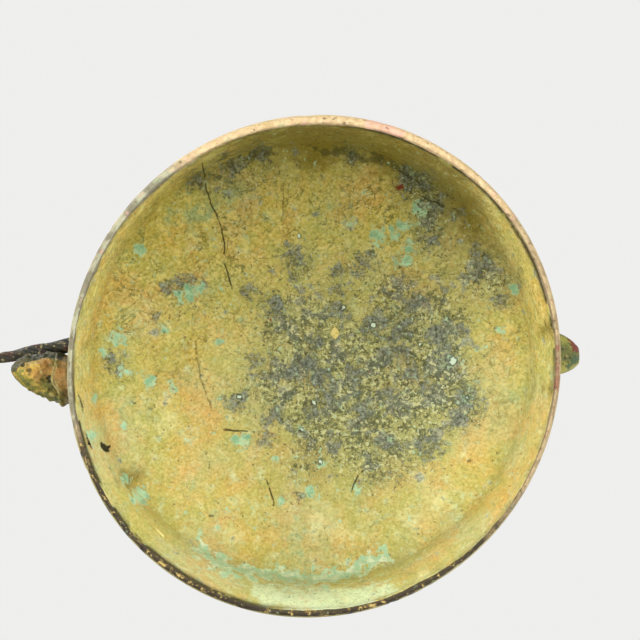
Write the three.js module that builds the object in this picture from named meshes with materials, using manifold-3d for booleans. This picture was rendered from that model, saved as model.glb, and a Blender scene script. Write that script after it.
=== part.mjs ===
// A round bronze bell that hangs by a ring through its crown loop. A beast-head lug with a twisted
// horn stands on its left side and a plain strap lug on its right. Millimetres, +Z up.
// Heights are measured up from the mouth plane. The group is lowered at the end, so that the point
// which the ring hangs from is the origin.
import * as THREE from "three";
import { mergeVertices } from "three/addons/utils/BufferGeometryUtils.js";
import Module from "manifold-3d";

const wasm = await Module();
wasm.setup();

const { degToRad, lerp, smoothstep } = THREE.MathUtils;

// Gap left between two pieces that seat on each other.
const CLEARANCE = 0.3;

// Length of a cutting bar that passes right through a wall or a lug.
const THROUGH = 40;

// The mouth, which is slightly out of round, and its lip.
const MOUTH_RADIUS = 125;
const MOUTH_OVALITY = 0.0156;
const OVAL_AXIS = degToRad(-60);
const OVAL_FADE_HEIGHT = 110;
const LIP_WIDTH = 4.4;
const LIP_FLAT = 2;
const LIP_EDGE = 0.6;
const LIP_BEVEL_HEIGHT = 4.5;
const LIP_BAND_HEIGHT = 12;
const LIP_PROUD = 2;
const LIP_STEP = 1.5;

// The wall: an upright skirt, a rounded corner and a domed crown with a flat disc on it.
const WALL = 5;
const SKIRT_BULGE = 1;
const SKIRT_HEIGHT = 158;
const CORNER_WIDTH = 15;
const INNER_CORNER_WIDTH = 14;
const DOME_RADIUS = 183;
const DOME_TOP = 212;
const CROWN_WALL = 5.5;
const CROWN_DISC_RADIUS = 41;
const CROWN_DISC_RISE = 1.5;

// Raised cord lines round the skirt, and the bosses between the upper two.
const RIDGE_HEIGHTS = [22, 52, 128, 152];
const RIDGE_HALF_WIDTH = 1.6;
const RIDGE_PROUD = 1.3;
const RIDGE_CLEAR = 4;
const BOSS_COUNT = 20;
const BOSS_RADIUS = 5.5;
const BOSS_PROUD = 3.6;
const BOSS_SINK = 0.1;

// Cast relief: square spirals between the lower two cord lines, each a line through the given
// places (along, up) in its cell, and lotus petals round the crown. Neighbours mirror each other.
const RELIEF_PROUD = 0.7;
const RELIEF_SINK = 1.5;
const SPIRAL_COUNT = 30;
const SPIRAL_HEIGHT = 37;
const SPIRAL_LINE = 2.2;
const SPIRAL_PATH = [
  [-13.2, -8.8], [9, -8.8], [9, 8.8], [-9, 8.8], [-9, -4], [4, -4], [4, 2.5],
];
const PETAL_COUNT = 16;
const PETAL_ROOT = 58;
const PETAL_LENGTH = 45;
const PETAL_FILL = 0.96;

// Core supports left in the casting: a lozenge in the crown and four squares in the skirt.
const CROWN_CHAPLET_AT = [14.2, -14];
const CROWN_CHAPLET_SIZE = [4.6, 6.6];
const SKIRT_CHAPLET_HEIGHT = 90;
const SKIRT_CHAPLET_SIZE = 8;
const SKIRT_CHAPLET_AZIMUTHS = [45, 135, 225, 315];

// The crown loop, a two-headed dragon whose back is the bar that the ring goes under.
const LOOP_HALF_SPAN = 31;
const LOOP_RISE = 30;
const LOOP_BAR_RADIUS = 6;
const LOOP_FOOT_RADIUS = 9;
const LOOP_TAPER = 1.5;
const DRAGON_SKULL = [12, 8.5, 8];
const DRAGON_SNOUT = [8, 6, 5];
const DRAGON_HEAD_HEIGHT = 8.5;
const DRAGON_SNOUT_DROP = 3.5;
const DRAGON_SNOUT_REACH = 10.2;

// The suspension ring.
const RING_INNER_RADIUS = 20;
const RING_WIRE_RADIUS = 4;

// The beast-head lug on the left: stations from the wall to the tip of the muzzle, each with its
// distance from the skirt, its half width and its half height. It leans aside towards its tip.
const HEAD_HEIGHT = 93;
const HEAD_DROOP = 5;
const HEAD_LEAN = [5, -3.5];
const HEAD_STATIONS = [
  [-3, 13.6, 24],
  [6, 13.3, 22],
  [13, 12.7, 20],
  [20, 10.9, 17.5],
  [27, 8, 13],
  [32, 4.9, 8.5],
  [35, 2.4, 4.5],
];
const EYE_RADIUS = 3.6;
const EYE_AT = [18, 9.4, 11];
const JAW_SLIT = 1.6;
const JAW_SLIT_DEPTH = 13;
const JAW_SLIT_DROP = 3;
const JAW_SLIT_TILT = degToRad(8);
const STUMP_RADIUS = 3.4;
const STUMP_TIP_RADIUS = 2;
const STUMP_LENGTH = 9;
const STUMP_AT = [12, 8, 20];

// The twisted horn along the head's upper flank in the photo.
const HORN_ROOT = [-3, -15.5, 97];
const HORN_BEND = [26, -12.5, 98];
const HORN_TIP = [50, -8, 114];
const HORN_ROOT_RADIUS = 4.5;
const HORN_TIP_RADIUS = 2.8;
const HORN_TWISTS = 2.5;
const HORN_LOBE = 0.09;

// The strap lug on the right.
const STRAP_HEIGHT = 92;
const STRAP_HALF_HEIGHT = 19;
const STRAP_REACH = 18;
const STRAP_LEAN = 2;
const STRAP_HALF_THICKNESS = 3;
const STRAP_ROOT_HALF_WIDTH = 12;
const STRAP_MID_HALF_WIDTH = 5.6;

// Fineness of the round shapes.
const BELL_SEGMENTS = 60;
const RING_SEGMENTS = 48;
const WIRE_SEGMENTS = 12;
const FLATTEN = 0.03; // faces of the casting that lie closer than this to one plane are joined

// Sizes that follow from those above.
const SKIRT_RADIUS = MOUTH_RADIUS - LIP_PROUD;
const MOUTH_INNER_RADIUS = MOUTH_RADIUS - LIP_WIDTH;
const INNER_WALL_RADIUS = SKIRT_RADIUS - WALL;
const DOME_CENTRE_HEIGHT = DOME_TOP - DOME_RADIUS;
const CROWN_TOP = DOME_TOP + CROWN_DISC_RISE;
const BAR_HEIGHT = CROWN_TOP + LOOP_RISE;
const RING_HEIGHT = BAR_HEIGHT - LOOP_BAR_RADIUS - CLEARANCE + RING_INNER_RADIUS;
const HANG_HEIGHT = RING_HEIGHT + RING_INNER_RADIUS;

/** n + 1 values of f(t), for t from 0 to 1. */
const steps = (n, f) => Array.from({ length: n + 1 }, (_, i) => f(i / n));

/** A closed geometry as a solid that can be joined and cut. */
function toSolid(geometry) {
  const bare = geometry.clone();
  bare.deleteAttribute("normal");
  bare.deleteAttribute("uv");
  const merged = mergeVertices(bare, 1e-4);
  const corners = merged.index.array;
  const kept = [];
  for (let i = 0; i < corners.length; i += 3) {
    const [a, b, c] = corners.subarray(i, i + 3);
    if (a !== b && b !== c && c !== a) kept.push(a, b, c);
  }
  const fill = () => new wasm.Manifold(new wasm.Mesh({
    numProp: 3,
    vertProperties: merged.attributes.position.array,
    triVerts: new Uint32Array(kept),
  }));
  const solid = fill();
  if (solid.volume() > 0) return solid;
  kept.reverse(); // the skin faced inwards, so every triangle is turned round
  return fill();
}

/** A solid as a geometry, with flat normals. */
function toGeometry(solid) {
  const mesh = solid.getMesh();
  const geometry = new THREE.BufferGeometry();
  geometry.setAttribute("position", new THREE.BufferAttribute(mesh.vertProperties, 3));
  geometry.setIndex(new THREE.BufferAttribute(mesh.triVerts, 1));
  const flat = geometry.toNonIndexed();
  flat.computeVertexNormals();
  return flat;
}

/** A closed skin over rings of equally many points, with a fan over each end. */
function loft(rings) {
  const count = rings[0].length;
  const points = rings.flat();
  const index = [];
  for (let i = 0; i + 1 < rings.length; i += 1) {
    for (let j = 0; j < count; j += 1) {
      const next = (j + 1) % count;
      const [a, b] = [i * count + j, i * count + next];
      const [c, d] = [a + count, b + count];
      index.push(a, b, d, a, d, c);
    }
  }
  for (const [ring, start] of [[rings[0], 0], [rings.at(-1), (rings.length - 1) * count]]) {
    const middle = ring.reduce((sum, p) => sum.add(p), new THREE.Vector3()).divideScalar(count);
    const centre = points.push(middle) - 1;
    for (let j = 0; j < count; j += 1) {
      const edge = [start + j, start + ((j + 1) % count)];
      if (start === 0) edge.reverse();
      index.push(edge[0], edge[1], centre);
    }
  }
  const geometry = new THREE.BufferGeometry().setFromPoints(points);
  geometry.setIndex(index);
  return geometry;
}

/** A ring of points round a centre, along two directions. Power 1 is an ellipse, less is boxier. */
function section(centre, across, up, count, power = 1, lobe = () => 1) {
  const bend = (v) => Math.sign(v) * Math.abs(v) ** power;
  return steps(count - 1, (t) => {
    const angle = (t * (count - 1) * 2 * Math.PI) / count;
    const size = lobe(angle);
    return centre
      .clone()
      .addScaledVector(across, size * bend(Math.cos(angle)))
      .addScaledVector(up, size * bend(Math.sin(angle)));
  });
}

/** An ellipsoid with the given half sizes. */
function ellipsoid([a, b, c], [x, y, z], fineness = 12) {
  return new THREE.SphereGeometry(1, fineness, Math.round(fineness * 0.7))
    .scale(a, b, c)
    .translate(x, y, z);
}

/** Radius of the skirt at a height, with its cord lines. */
function skirtRadius(height) {
  const along = (height - LIP_BAND_HEIGHT) / (SKIRT_HEIGHT - LIP_BAND_HEIGHT);
  const bulge = SKIRT_BULGE * Math.sin(Math.PI * along);
  const cords = RIDGE_HEIGHTS.map((ridge) => {
    const off = (height - ridge) / RIDGE_HALF_WIDTH;
    return RIDGE_PROUD * Math.max(0, 1 - off * off);
  });
  return SKIRT_RADIUS + bulge + Math.max(...cords);
}

/** Half of the crown in section, from a radius near the axis out to the top of an upright wall. */
function crownProfile(sphere, from, wallRadius, wallTop, cornerWidth) {
  const height = (radius) => DOME_CENTRE_HEIGHT + Math.sqrt(sphere ** 2 - radius ** 2);
  const meet = new THREE.Vector2(wallRadius - cornerWidth, height(wallRadius - cornerWidth));
  const slope = -meet.x / (meet.y - DOME_CENTRE_HEIGHT);
  const knee = new THREE.Vector2(wallRadius, meet.y + slope * cornerWidth);
  const foot = new THREE.Vector2(wallRadius, wallTop);
  const dome = steps(5, (t) => {
    const radius = lerp(from, meet.x, t);
    return new THREE.Vector2(radius, height(radius));
  });
  const corner = new THREE.QuadraticBezierCurve(meet, knee, foot).getPoints(4);
  return [...dome, ...corner.slice(1)];
}

/** The outside in section, from the middle of the crown down to the edge of the mouth's flat. */
function outerProfile() {
  const crown = crownProfile(
    DOME_RADIUS, CROWN_DISC_RADIUS, SKIRT_RADIUS, SKIRT_HEIGHT, CORNER_WIDTH);
  const even = steps(4, (t) => lerp(SKIRT_HEIGHT, LIP_BAND_HEIGHT + LIP_STEP, t)).slice(1);
  const cords = RIDGE_HEIGHTS.flatMap((ridge) =>
    steps(2, (t) => ridge + RIDGE_HALF_WIDTH * lerp(1, -1, t)));
  const clear = even.filter((h) => RIDGE_HEIGHTS.every((r) => Math.abs(h - r) > RIDGE_CLEAR));
  const heights = [...clear, LIP_BAND_HEIGHT + LIP_STEP, ...cords];
  const skirt = [...new Set(heights)].sort((a, b) => b - a);
  const bevel = new THREE.QuadraticBezierCurve(
    new THREE.Vector2(MOUTH_RADIUS, LIP_BEVEL_HEIGHT),
    new THREE.Vector2(MOUTH_RADIUS - LIP_EDGE, LIP_EDGE),
    new THREE.Vector2(MOUTH_INNER_RADIUS + LIP_EDGE + LIP_FLAT, 0),
  ).getPoints(3);
  return [
    new THREE.Vector2(0, CROWN_TOP),
    new THREE.Vector2(CROWN_DISC_RADIUS - CROWN_DISC_RISE, CROWN_TOP),
    ...crown,
    ...skirt.map((height) => new THREE.Vector2(skirtRadius(height), height)),
    new THREE.Vector2(MOUTH_RADIUS, LIP_BAND_HEIGHT),
    ...bevel,
  ];
}

/** The inside in section, from the mouth's flat up to the middle of the crown. */
function innerProfile() {
  const sphere = DOME_RADIUS - CROWN_WALL;
  const top = SKIRT_HEIGHT - CROWN_WALL;
  const crown = crownProfile(sphere, 0, INNER_WALL_RADIUS, top, INNER_CORNER_WIDTH);
  return [
    new THREE.Vector2(MOUTH_INNER_RADIUS + LIP_EDGE, 0),
    new THREE.Vector2(MOUTH_INNER_RADIUS, LIP_EDGE),
    new THREE.Vector2(lerp(MOUTH_INNER_RADIUS, INNER_WALL_RADIUS, 0.5), top / 2),
    ...crown.reverse(),
  ];
}

/** Turns a profile round the bell's axis and draws the mouth slightly out of round. */
function turned(profile) {
  const geometry = new THREE.LatheGeometry(profile, BELL_SEGMENTS).rotateX(Math.PI / 2);
  const place = geometry.attributes.position;
  for (let i = 0; i < place.count; i += 1) {
    const [x, y, z] = [place.getX(i), place.getY(i), place.getZ(i)];
    const turn = Math.cos(2 * (Math.atan2(y, x) - OVAL_AXIS));
    const fade = 1 - smoothstep(z, 0, OVAL_FADE_HEIGHT);
    const grow = 1 + MOUTH_OVALITY * turn * fade;
    place.setXY(i, x * grow, y * grow);
  }
  return geometry;
}

/** A filled copy of the bell's outside, grown by a gap, for cutting what seats on the bell. */
function envelope(gap) {
  const outer = outerProfile();
  const grown = outer.map((p, i) => {
    const ahead = outer[Math.min(i + 1, outer.length - 1)];
    const behind = outer[Math.max(i - 1, 0)];
    const along = ahead.clone().sub(behind).normalize();
    return new THREE.Vector2(Math.max(0, p.x - gap * along.y), p.y + gap * along.x);
  });
  grown[0].x = 0;
  return toSolid(turned([...grown, new THREE.Vector2(0, 0)]));
}

/** A box turned about the bell's axis, long enough to pass through the skirt. */
function skirtPrism(azimuth, side) {
  const box = new THREE.BoxGeometry(THROUGH, side, side);
  return toSolid(
    box.translate(SKIRT_RADIUS, 0, SKIRT_CHAPLET_HEIGHT).rotateZ(degToRad(azimuth)));
}

/** The lozenge that passes through the crown, its four corners on its two axes. */
function crownPrism(grow) {
  const [a, b] = CROWN_CHAPLET_SIZE.map((side) => side / 2 + grow);
  const outline = new THREE.Shape([
    new THREE.Vector2(a, 0),
    new THREE.Vector2(0, b),
    new THREE.Vector2(-a, 0),
    new THREE.Vector2(0, -b),
  ]);
  const bar = new THREE.ExtrudeGeometry(outline, { depth: THROUGH, bevelEnabled: false });
  return toSolid(bar.translate(...CROWN_CHAPLET_AT, DOME_TOP - THROUGH / 2));
}

/** The lines of every square spiral, as bars through the skirt. */
function spiralBars() {
  const cells = Array.from({ length: SPIRAL_COUNT }, (_, i) => i);
  return cells.flatMap((cell) => SPIRAL_PATH.slice(1).map(([along, up], i) => {
    const [alongFrom, upFrom] = SPIRAL_PATH[i];
    const middle = (cell % 2 ? -1 : 1) * (along + alongFrom) / 2;
    const [wide, high] = [Math.abs(along - alongFrom), Math.abs(up - upFrom)];
    const bar = new THREE.BoxGeometry(THROUGH, wide + SPIRAL_LINE, high + SPIRAL_LINE)
      .translate(SKIRT_RADIUS, middle, SPIRAL_HEIGHT + (up + upFrom) / 2)
      .rotateZ(degToRad(((cell + 0.5) * 360) / SPIRAL_COUNT));
    return toSolid(bar);
  }));
}

/** The petals, as upright prisms through the crown. Their half width is the root of 1 - v^3. */
function petalPrisms() {
  const half = (PETAL_FILL * Math.PI) / PETAL_COUNT;
  const sides = [0, 0.5, 0.8, 0.95].map((v) => [
    PETAL_ROOT + PETAL_LENGTH * v, half * Math.sqrt(1 - v ** 3)]);
  const tip = new THREE.Vector2(PETAL_ROOT + PETAL_LENGTH, 0);
  const polar = (sign) => ([reach, angle]) =>
    new THREE.Vector2(reach * Math.cos(angle), sign * reach * Math.sin(angle));
  const outline = [...sides.map(polar(-1)), tip, ...sides.map(polar(1)).reverse()];
  const depth = DOME_TOP - SKIRT_HEIGHT;
  return Array.from({ length: PETAL_COUNT }, (_, i) => toSolid(
    new THREE.ExtrudeGeometry(new THREE.Shape(outline), { depth, bevelEnabled: false })
      .translate(0, 0, SKIRT_HEIGHT)
      .rotateZ(((i + 0.5) * 2 * Math.PI) / PETAL_COUNT)));
}

/** The casting and the core supports that are cut from it. */
function makeCasting() {
  const plain = toSolid(turned([...outerProfile(), ...innerProfile()]));
  const height = (RIDGE_HEIGHTS[2] + RIDGE_HEIGHTS[3]) / 2;
  const bosses = steps(BOSS_COUNT - 1, (t) => {
    const azimuth = (t * (BOSS_COUNT - 1) + 0.5) * (360 / BOSS_COUNT);
    const dome = ellipsoid([BOSS_PROUD, BOSS_RADIUS, BOSS_RADIUS], [0, 0, 0], 8);
    const at = skirtRadius(height) - BOSS_SINK;
    return toSolid(dome.translate(at, 0, height).rotateZ(degToRad(azimuth)));
  });
  const relief = wasm.Manifold.union([...spiralBars(), ...petalPrisms()])
    .intersect(envelope(RELIEF_PROUD))
    .subtract(envelope(-RELIEF_SINK));
  let body = wasm.Manifold.union([plain, relief, ...bosses]);
  const chaplets = {};
  SKIRT_CHAPLET_AZIMUTHS.forEach((azimuth, i) => {
    chaplets[`skirt_chaplet_${i + 1}`] = plain.intersect(
      skirtPrism(azimuth, SKIRT_CHAPLET_SIZE));
    body = body.subtract(skirtPrism(azimuth, SKIRT_CHAPLET_SIZE + 2 * CLEARANCE));
  });
  chaplets.crown_chaplet = plain.intersect(crownPrism(0));
  body = body.subtract(crownPrism(CLEARANCE));
  return { body: body.simplify(FLATTEN), chaplets };
}

/** The crown loop: an arch of round section that swells into a dragon's head at each foot. */
function makeCrownLoop(bell) {
  const rings = steps(28, (t) => {
    const turn = Math.PI * t;
    const rise = Math.sin(turn);
    const radius = lerp(LOOP_FOOT_RADIUS, LOOP_BAR_RADIUS, Math.min(1, LOOP_TAPER * rise));
    const centre = new THREE.Vector3(
      -LOOP_HALF_SPAN * Math.cos(turn), 0, CROWN_TOP + LOOP_RISE * rise);
    const out = new THREE.Vector3(
      -LOOP_RISE * Math.cos(turn), 0, LOOP_HALF_SPAN * rise).setLength(radius);
    return section(centre, out, new THREE.Vector3(0, radius, 0), 16);
  });
  const heads = [-1, 1].flatMap((side) => {
    const [long] = DRAGON_SKULL;
    const x = side * (LOOP_HALF_SPAN + long / 2);
    const height = CROWN_TOP + DRAGON_HEAD_HEIGHT;
    const skull = ellipsoid(DRAGON_SKULL, [x, 0, height]);
    const snout = ellipsoid(
      DRAGON_SNOUT, [x + side * DRAGON_SNOUT_REACH, 0, height - DRAGON_SNOUT_DROP]);
    return [toSolid(skull), toSolid(snout)];
  });
  return wasm.Manifold.union([toSolid(loft(rings)), ...heads]).subtract(bell);
}

/** The horn: a tapering rod along a bend, with a twisted, lobed section. */
function makeHorn(grow) {
  const [root, bend, tip] = [HORN_ROOT, HORN_BEND, HORN_TIP].map(
    ([out, y, z]) => new THREE.Vector3(-SKIRT_RADIUS - out, y, z));
  const route = new THREE.QuadraticBezierCurve3(root, bend, tip);
  const rings = steps(26, (t) => {
    const radius = lerp(HORN_ROOT_RADIUS, HORN_TIP_RADIUS, t) + grow;
    const along = route.getTangent(t);
    const across = new THREE.Vector3(0, 1, 0).cross(along).setLength(radius);
    const up = along.clone().cross(across).setLength(radius);
    const centre = route.getPoint(t).addScaledVector(along, grow * t);
    const lobe = (angle) =>
      1 + HORN_LOBE * (Math.cos(3 * angle - 2 * Math.PI * HORN_TWISTS * t) - 1);
    return section(centre, across, up, 18, 1, lobe);
  });
  return toSolid(loft(rings));
}

/** How far aside the head's middle line lies, at a distance out from the skirt. */
function headLean(out) {
  const [from, to] = [HEAD_STATIONS[0][0], HEAD_STATIONS.at(-1)[0]];
  return lerp(...HEAD_LEAN, (out - from) / (to - from));
}

/** The beast head: a lofted muzzle with eyes, a jaw slit and the stump of its second horn. */
function makeBeastHead(bell) {
  const key = HEAD_STATIONS.map((station) => new THREE.Vector3(...station));
  const rings = new THREE.CatmullRomCurve3(key).getPoints(18).map((station, i, all) => {
    const drop = HEAD_DROOP * (i / (all.length - 1)) ** 2;
    const aside = headLean(station.x);
    const centre = new THREE.Vector3(-SKIRT_RADIUS - station.x, aside, HEAD_HEIGHT - drop);
    const across = new THREE.Vector3(0, -station.y, 0);
    const up = new THREE.Vector3(0, 0, station.z);
    return section(centre, across, up, 22, 0.9);
  });
  const [eyeOut, eyeSide, eyeUp] = EYE_AT;
  const eyes = [-1, 1].map((side) => toSolid(ellipsoid(
    [EYE_RADIUS, EYE_RADIUS, EYE_RADIUS],
    [-SKIRT_RADIUS - eyeOut, headLean(eyeOut) + side * eyeSide, HEAD_HEIGHT + eyeUp], 10)));
  const [stumpOut, stumpSide, stumpUp] = STUMP_AT;
  const stump = new THREE.CylinderGeometry(STUMP_TIP_RADIUS, STUMP_RADIUS, STUMP_LENGTH, 10)
    .rotateX(Math.PI / 2)
    .translate(-SKIRT_RADIUS - stumpOut, headLean(stumpOut) + stumpSide, HEAD_HEIGHT + stumpUp);
  const reach = HEAD_STATIONS.at(-1)[0];
  const slit = new THREE.BoxGeometry(2 * JAW_SLIT_DEPTH, THROUGH, JAW_SLIT)
    .rotateY(JAW_SLIT_TILT)
    .translate(-SKIRT_RADIUS - reach, 0, HEAD_HEIGHT - HEAD_DROOP - JAW_SLIT_DROP);
  return wasm.Manifold.union([toSolid(loft(rings)), toSolid(stump), ...eyes])
    .subtract(toSolid(slit))
    .subtract(makeHorn(CLEARANCE))
    .subtract(bell);
}

/** The strap lug: a flat strap bent into an upright loop, open from side to side. */
function makeStrapLug(bell) {
  const start = SKIRT_RADIUS - WALL / 2;
  const reach = SKIRT_RADIUS + STRAP_REACH - STRAP_HALF_THICKNESS - start;
  const rings = steps(22, (t) => {
    const turn = Math.PI * t;
    const width = Math.hypot(
      STRAP_ROOT_HALF_WIDTH * Math.cos(turn), STRAP_MID_HALF_WIDTH * Math.sin(turn));
    const centre = new THREE.Vector3(
      start + reach * Math.sin(turn),
      STRAP_LEAN * Math.sin(turn) ** 2,
      STRAP_HEIGHT - STRAP_HALF_HEIGHT * Math.cos(turn));
    const out = new THREE.Vector3(
      STRAP_HALF_HEIGHT * Math.sin(turn), 0, -reach * Math.cos(turn))
      .setLength(STRAP_HALF_THICKNESS);
    return section(centre, out, new THREE.Vector3(0, width, 0), 18, 0.9);
  });
  return toSolid(loft(rings)).subtract(bell);
}

/** The suspension ring, centred on its own middle, in the plane across the loop's bar. */
function ringGeometry() {
  return new THREE.TorusGeometry(
    RING_INNER_RADIUS + RING_WIRE_RADIUS, RING_WIRE_RADIUS, WIRE_SEGMENTS, RING_SEGMENTS,
  ).rotateY(Math.PI / 2);
}

/** One named piece with a material of its own. */
function piece(name, geometry, color, roughness) {
  const material = new THREE.MeshStandardMaterial({ color, roughness, metalness: 0.6 });
  const mesh = new THREE.Mesh(geometry, material);
  mesh.name = name;
  return mesh;
}

const seat = envelope(CLEARANCE);
const { body, chaplets } = makeCasting();

const bell = new THREE.Group();
bell.position.z = -HANG_HEIGHT;
bell.add(
  piece("bell_body", toGeometry(body), 0x9a7a2e, 0.6),
  piece("crown_loop", toGeometry(makeCrownLoop(seat)), 0x6d6a3a, 0.65),
  piece("beast_head_lug", toGeometry(makeBeastHead(seat)), 0xa07a30, 0.6),
  piece("beast_head_horn", toGeometry(makeHorn(0).subtract(seat)), 0x4a2a1c, 0.5),
  piece("strap_lug", toGeometry(makeStrapLug(seat)), 0x8c8440, 0.55),
);
for (const [name, solid] of Object.entries(chaplets)) {
  bell.add(piece(name, toGeometry(solid), 0xc8b465, 0.55));
}

const ring = piece("suspension_ring", ringGeometry(), 0x5a3d26, 0.6);
ring.position.z = RING_HEIGHT - HANG_HEIGHT;

const part = new THREE.Group();
part.add(bell, ring);
export default part;
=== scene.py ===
# %% [markdown]
# # A round bronze bell, looked into from its mouth
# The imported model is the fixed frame. It holds every solid of the bell in metres, with the point
# that the bell hangs from at the origin and the mouth facing down. This lesson dresses those solids:
# each one is replaced by a finer surface, or given a patina of its own.

# %% Load the frame
import bpy
import numpy as np
from mathutils import Matrix, Vector


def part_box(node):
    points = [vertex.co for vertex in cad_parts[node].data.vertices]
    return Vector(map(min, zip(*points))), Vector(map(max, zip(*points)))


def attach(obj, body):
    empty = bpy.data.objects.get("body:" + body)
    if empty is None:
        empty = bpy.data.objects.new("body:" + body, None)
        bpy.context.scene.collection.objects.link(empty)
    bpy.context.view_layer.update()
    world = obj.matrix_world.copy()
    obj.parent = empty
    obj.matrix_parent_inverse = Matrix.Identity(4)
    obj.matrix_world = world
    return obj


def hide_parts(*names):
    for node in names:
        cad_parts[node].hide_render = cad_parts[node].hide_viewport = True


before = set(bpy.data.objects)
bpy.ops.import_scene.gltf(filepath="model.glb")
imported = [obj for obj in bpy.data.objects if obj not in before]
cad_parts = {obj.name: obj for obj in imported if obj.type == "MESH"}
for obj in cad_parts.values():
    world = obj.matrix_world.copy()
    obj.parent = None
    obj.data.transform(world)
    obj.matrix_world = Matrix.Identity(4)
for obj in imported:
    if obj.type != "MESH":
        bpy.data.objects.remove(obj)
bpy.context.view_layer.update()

MM = 0.001
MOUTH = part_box("bell_body")[0].z

# %% [markdown]
# ## The camera
# The photo looks straight into the mouth, so the camera stands below the bell and looks up along its
# axis. Two things are read from the photo: where the middle of the mouth lies in the picture, and
# that the bell is turned a little, because its two lugs are not quite level.
# A long lens from far away keeps the round wall nearly parallel to the view, as it is in the photo.

# %% Place the camera by the mouth's place in the picture
PICTURE = 640
MOUTH_PIXEL = (314.3, 366.5)
PIXELS_PER_METRE = 2000
CAMERA_DISTANCE = 1.79
CAMERA_ASIDE = (-0.018, 0.035)
PICTURE_TURN = np.radians(2.5)

to_right = Vector((np.cos(PICTURE_TURN), np.sin(PICTURE_TURN), 0))
to_top = Vector((np.sin(PICTURE_TURN), -np.cos(PICTURE_TURN), 0))
mouth_middle = Vector((0, 0, MOUTH))
half = PICTURE / 2
aim = (mouth_middle + to_right * ((half - MOUTH_PIXEL[0]) / PIXELS_PER_METRE)
       + to_top * ((MOUTH_PIXEL[1] - half) / PIXELS_PER_METRE))
eye = (mouth_middle + to_right * CAMERA_ASIDE[0] + to_top * CAMERA_ASIDE[1]
       - Vector((0, 0, CAMERA_DISTANCE)))
back = (eye - aim).normalized()
side = to_top.cross(back).normalized()
top = back.cross(side)

camera_data = bpy.data.cameras.new("camera")
camera_data.sensor_width = 36
camera_data.lens = PIXELS_PER_METRE * CAMERA_DISTANCE / PICTURE * camera_data.sensor_width
camera = bpy.data.objects.new("camera", camera_data)
camera.matrix_world = Matrix((
    (side.x, top.x, back.x, eye.x),
    (side.y, top.y, back.y, eye.y),
    (side.z, top.z, back.z, eye.z),
    (0, 0, 0, 1)))
bpy.context.scene.collection.objects.link(camera)
bpy.context.scene.camera = camera
print("lens", round(camera_data.lens, 1), "mm")


def picture_place(points):
    """Where points fall in the picture: their distance aside and above over their depth, times the
    focal length in pixels, counted from the middle of the picture with y downwards."""
    away = points - np.array(eye)
    focal = PIXELS_PER_METRE * CAMERA_DISTANCE
    depth = -away @ np.array(back)
    across = half + focal * (away @ np.array(side)) / depth
    down = half - focal * (away @ np.array(top)) / depth
    return across, down


# %% [markdown]
# ## Light, floor and background
# The photo's light comes from the top of the picture and a little from the front. A large soft lamp
# stands there, below the mouth, so that it reaches into the bell. One lamp in front and one at each
# side make the rest of the inside even, and two above light the crown for the other views.
# The world gives the rest.
# The background is pale because the world and the floor show a plain pale colour to the camera. They
# show it to shiny surfaces and through glass too, while all other rays get the true, dimmer light.

# %% Place the lamps
def soft_lamp(name, place, target, size, power):
    """A square lamp at a place, turned so that its face looks at the target."""
    data = bpy.data.lights.new(name, "AREA")
    data.size = size
    data.energy = power
    lamp = bpy.data.objects.new(name, data)
    lamp.location = place
    lamp.rotation_euler = (Vector(target) - Vector(place)).to_track_quat("-Z", "Y").to_euler()
    bpy.context.scene.collection.objects.link(lamp)


def studio_place(right, up, front):
    """A place in metres from the middle of the mouth: to the photo's right, its top and its front."""
    return mouth_middle + to_right * right + to_top * up - Vector((0, 0, front))


dome_middle = mouth_middle + Vector((0, 0, 0.15))
soft_lamp("key", studio_place(-0.15, 0.75, 1.5), dome_middle, 1.0, 16)
soft_lamp("left_wing", studio_place(-1.3, 0.45, 1.0), mouth_middle, 0.9, 32)
soft_lamp("right_wing", studio_place(1.3, 0.45, 1.0), mouth_middle, 0.9, 28)
soft_lamp("front", studio_place(0.1, 0.1, 2.1), dome_middle, 1.5, 15)
soft_lamp("upper", Vector((-1.3, -1.7, 1.3)), (0, 0, -0.12), 1.4, 46)
soft_lamp("rear", Vector((1.5, 1.6, 1.0)), (0, 0, -0.12), 1.6, 30)
print(len(bpy.data.lights), "lamps")

# %% Light the world and show it pale
WORLD_LIGHT = 0.58
WHITE, PALE = (1, 1, 1, 1), (0.86, 0.86, 0.85, 1)


def show_pale(tree, lit, glow, target, share, tint):
    """Joins a plain pale glow to a lit shader. Rays from the camera, off shiny surfaces and through
    glass see the glow, as much as the share says. All other rays see the lit shader."""
    path = tree.nodes.new("ShaderNodeLightPath")
    either = path.outputs["Is Camera Ray"]
    for kind in ("Is Glossy Ray", "Is Transmission Ray"):
        total = tree.nodes.new("ShaderNodeMath")
        total.use_clamp = True
        tree.links.new(either, total.inputs[0])
        tree.links.new(path.outputs[kind], total.inputs[1])
        either = total.outputs[0]
    part = tree.nodes.new("ShaderNodeMath")
    part.operation = "MULTIPLY"
    part.inputs[1].default_value = share
    mix = tree.nodes.new("ShaderNodeMixShader")
    glow.inputs["Color"].default_value = tint
    tree.links.new(either, part.inputs[0])
    tree.links.new(part.outputs[0], mix.inputs[0])
    tree.links.new(lit.outputs[0], mix.inputs[1])
    tree.links.new(glow.outputs[0], mix.inputs[2])
    tree.links.new(mix.outputs[0], target.inputs["Surface"])


world = bpy.data.worlds.new("studio")
bpy.context.scene.world = world
world.use_nodes = True
nodes = world.node_tree.nodes
nodes["Background"].inputs["Color"].default_value = WHITE
nodes["Background"].inputs["Strength"].default_value = WORLD_LIGHT
show_pale(world.node_tree, nodes["Background"], nodes.new("ShaderNodeBackground"),
          nodes["World Output"], 1, PALE)
print("world light", WORLD_LIGHT)

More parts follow.
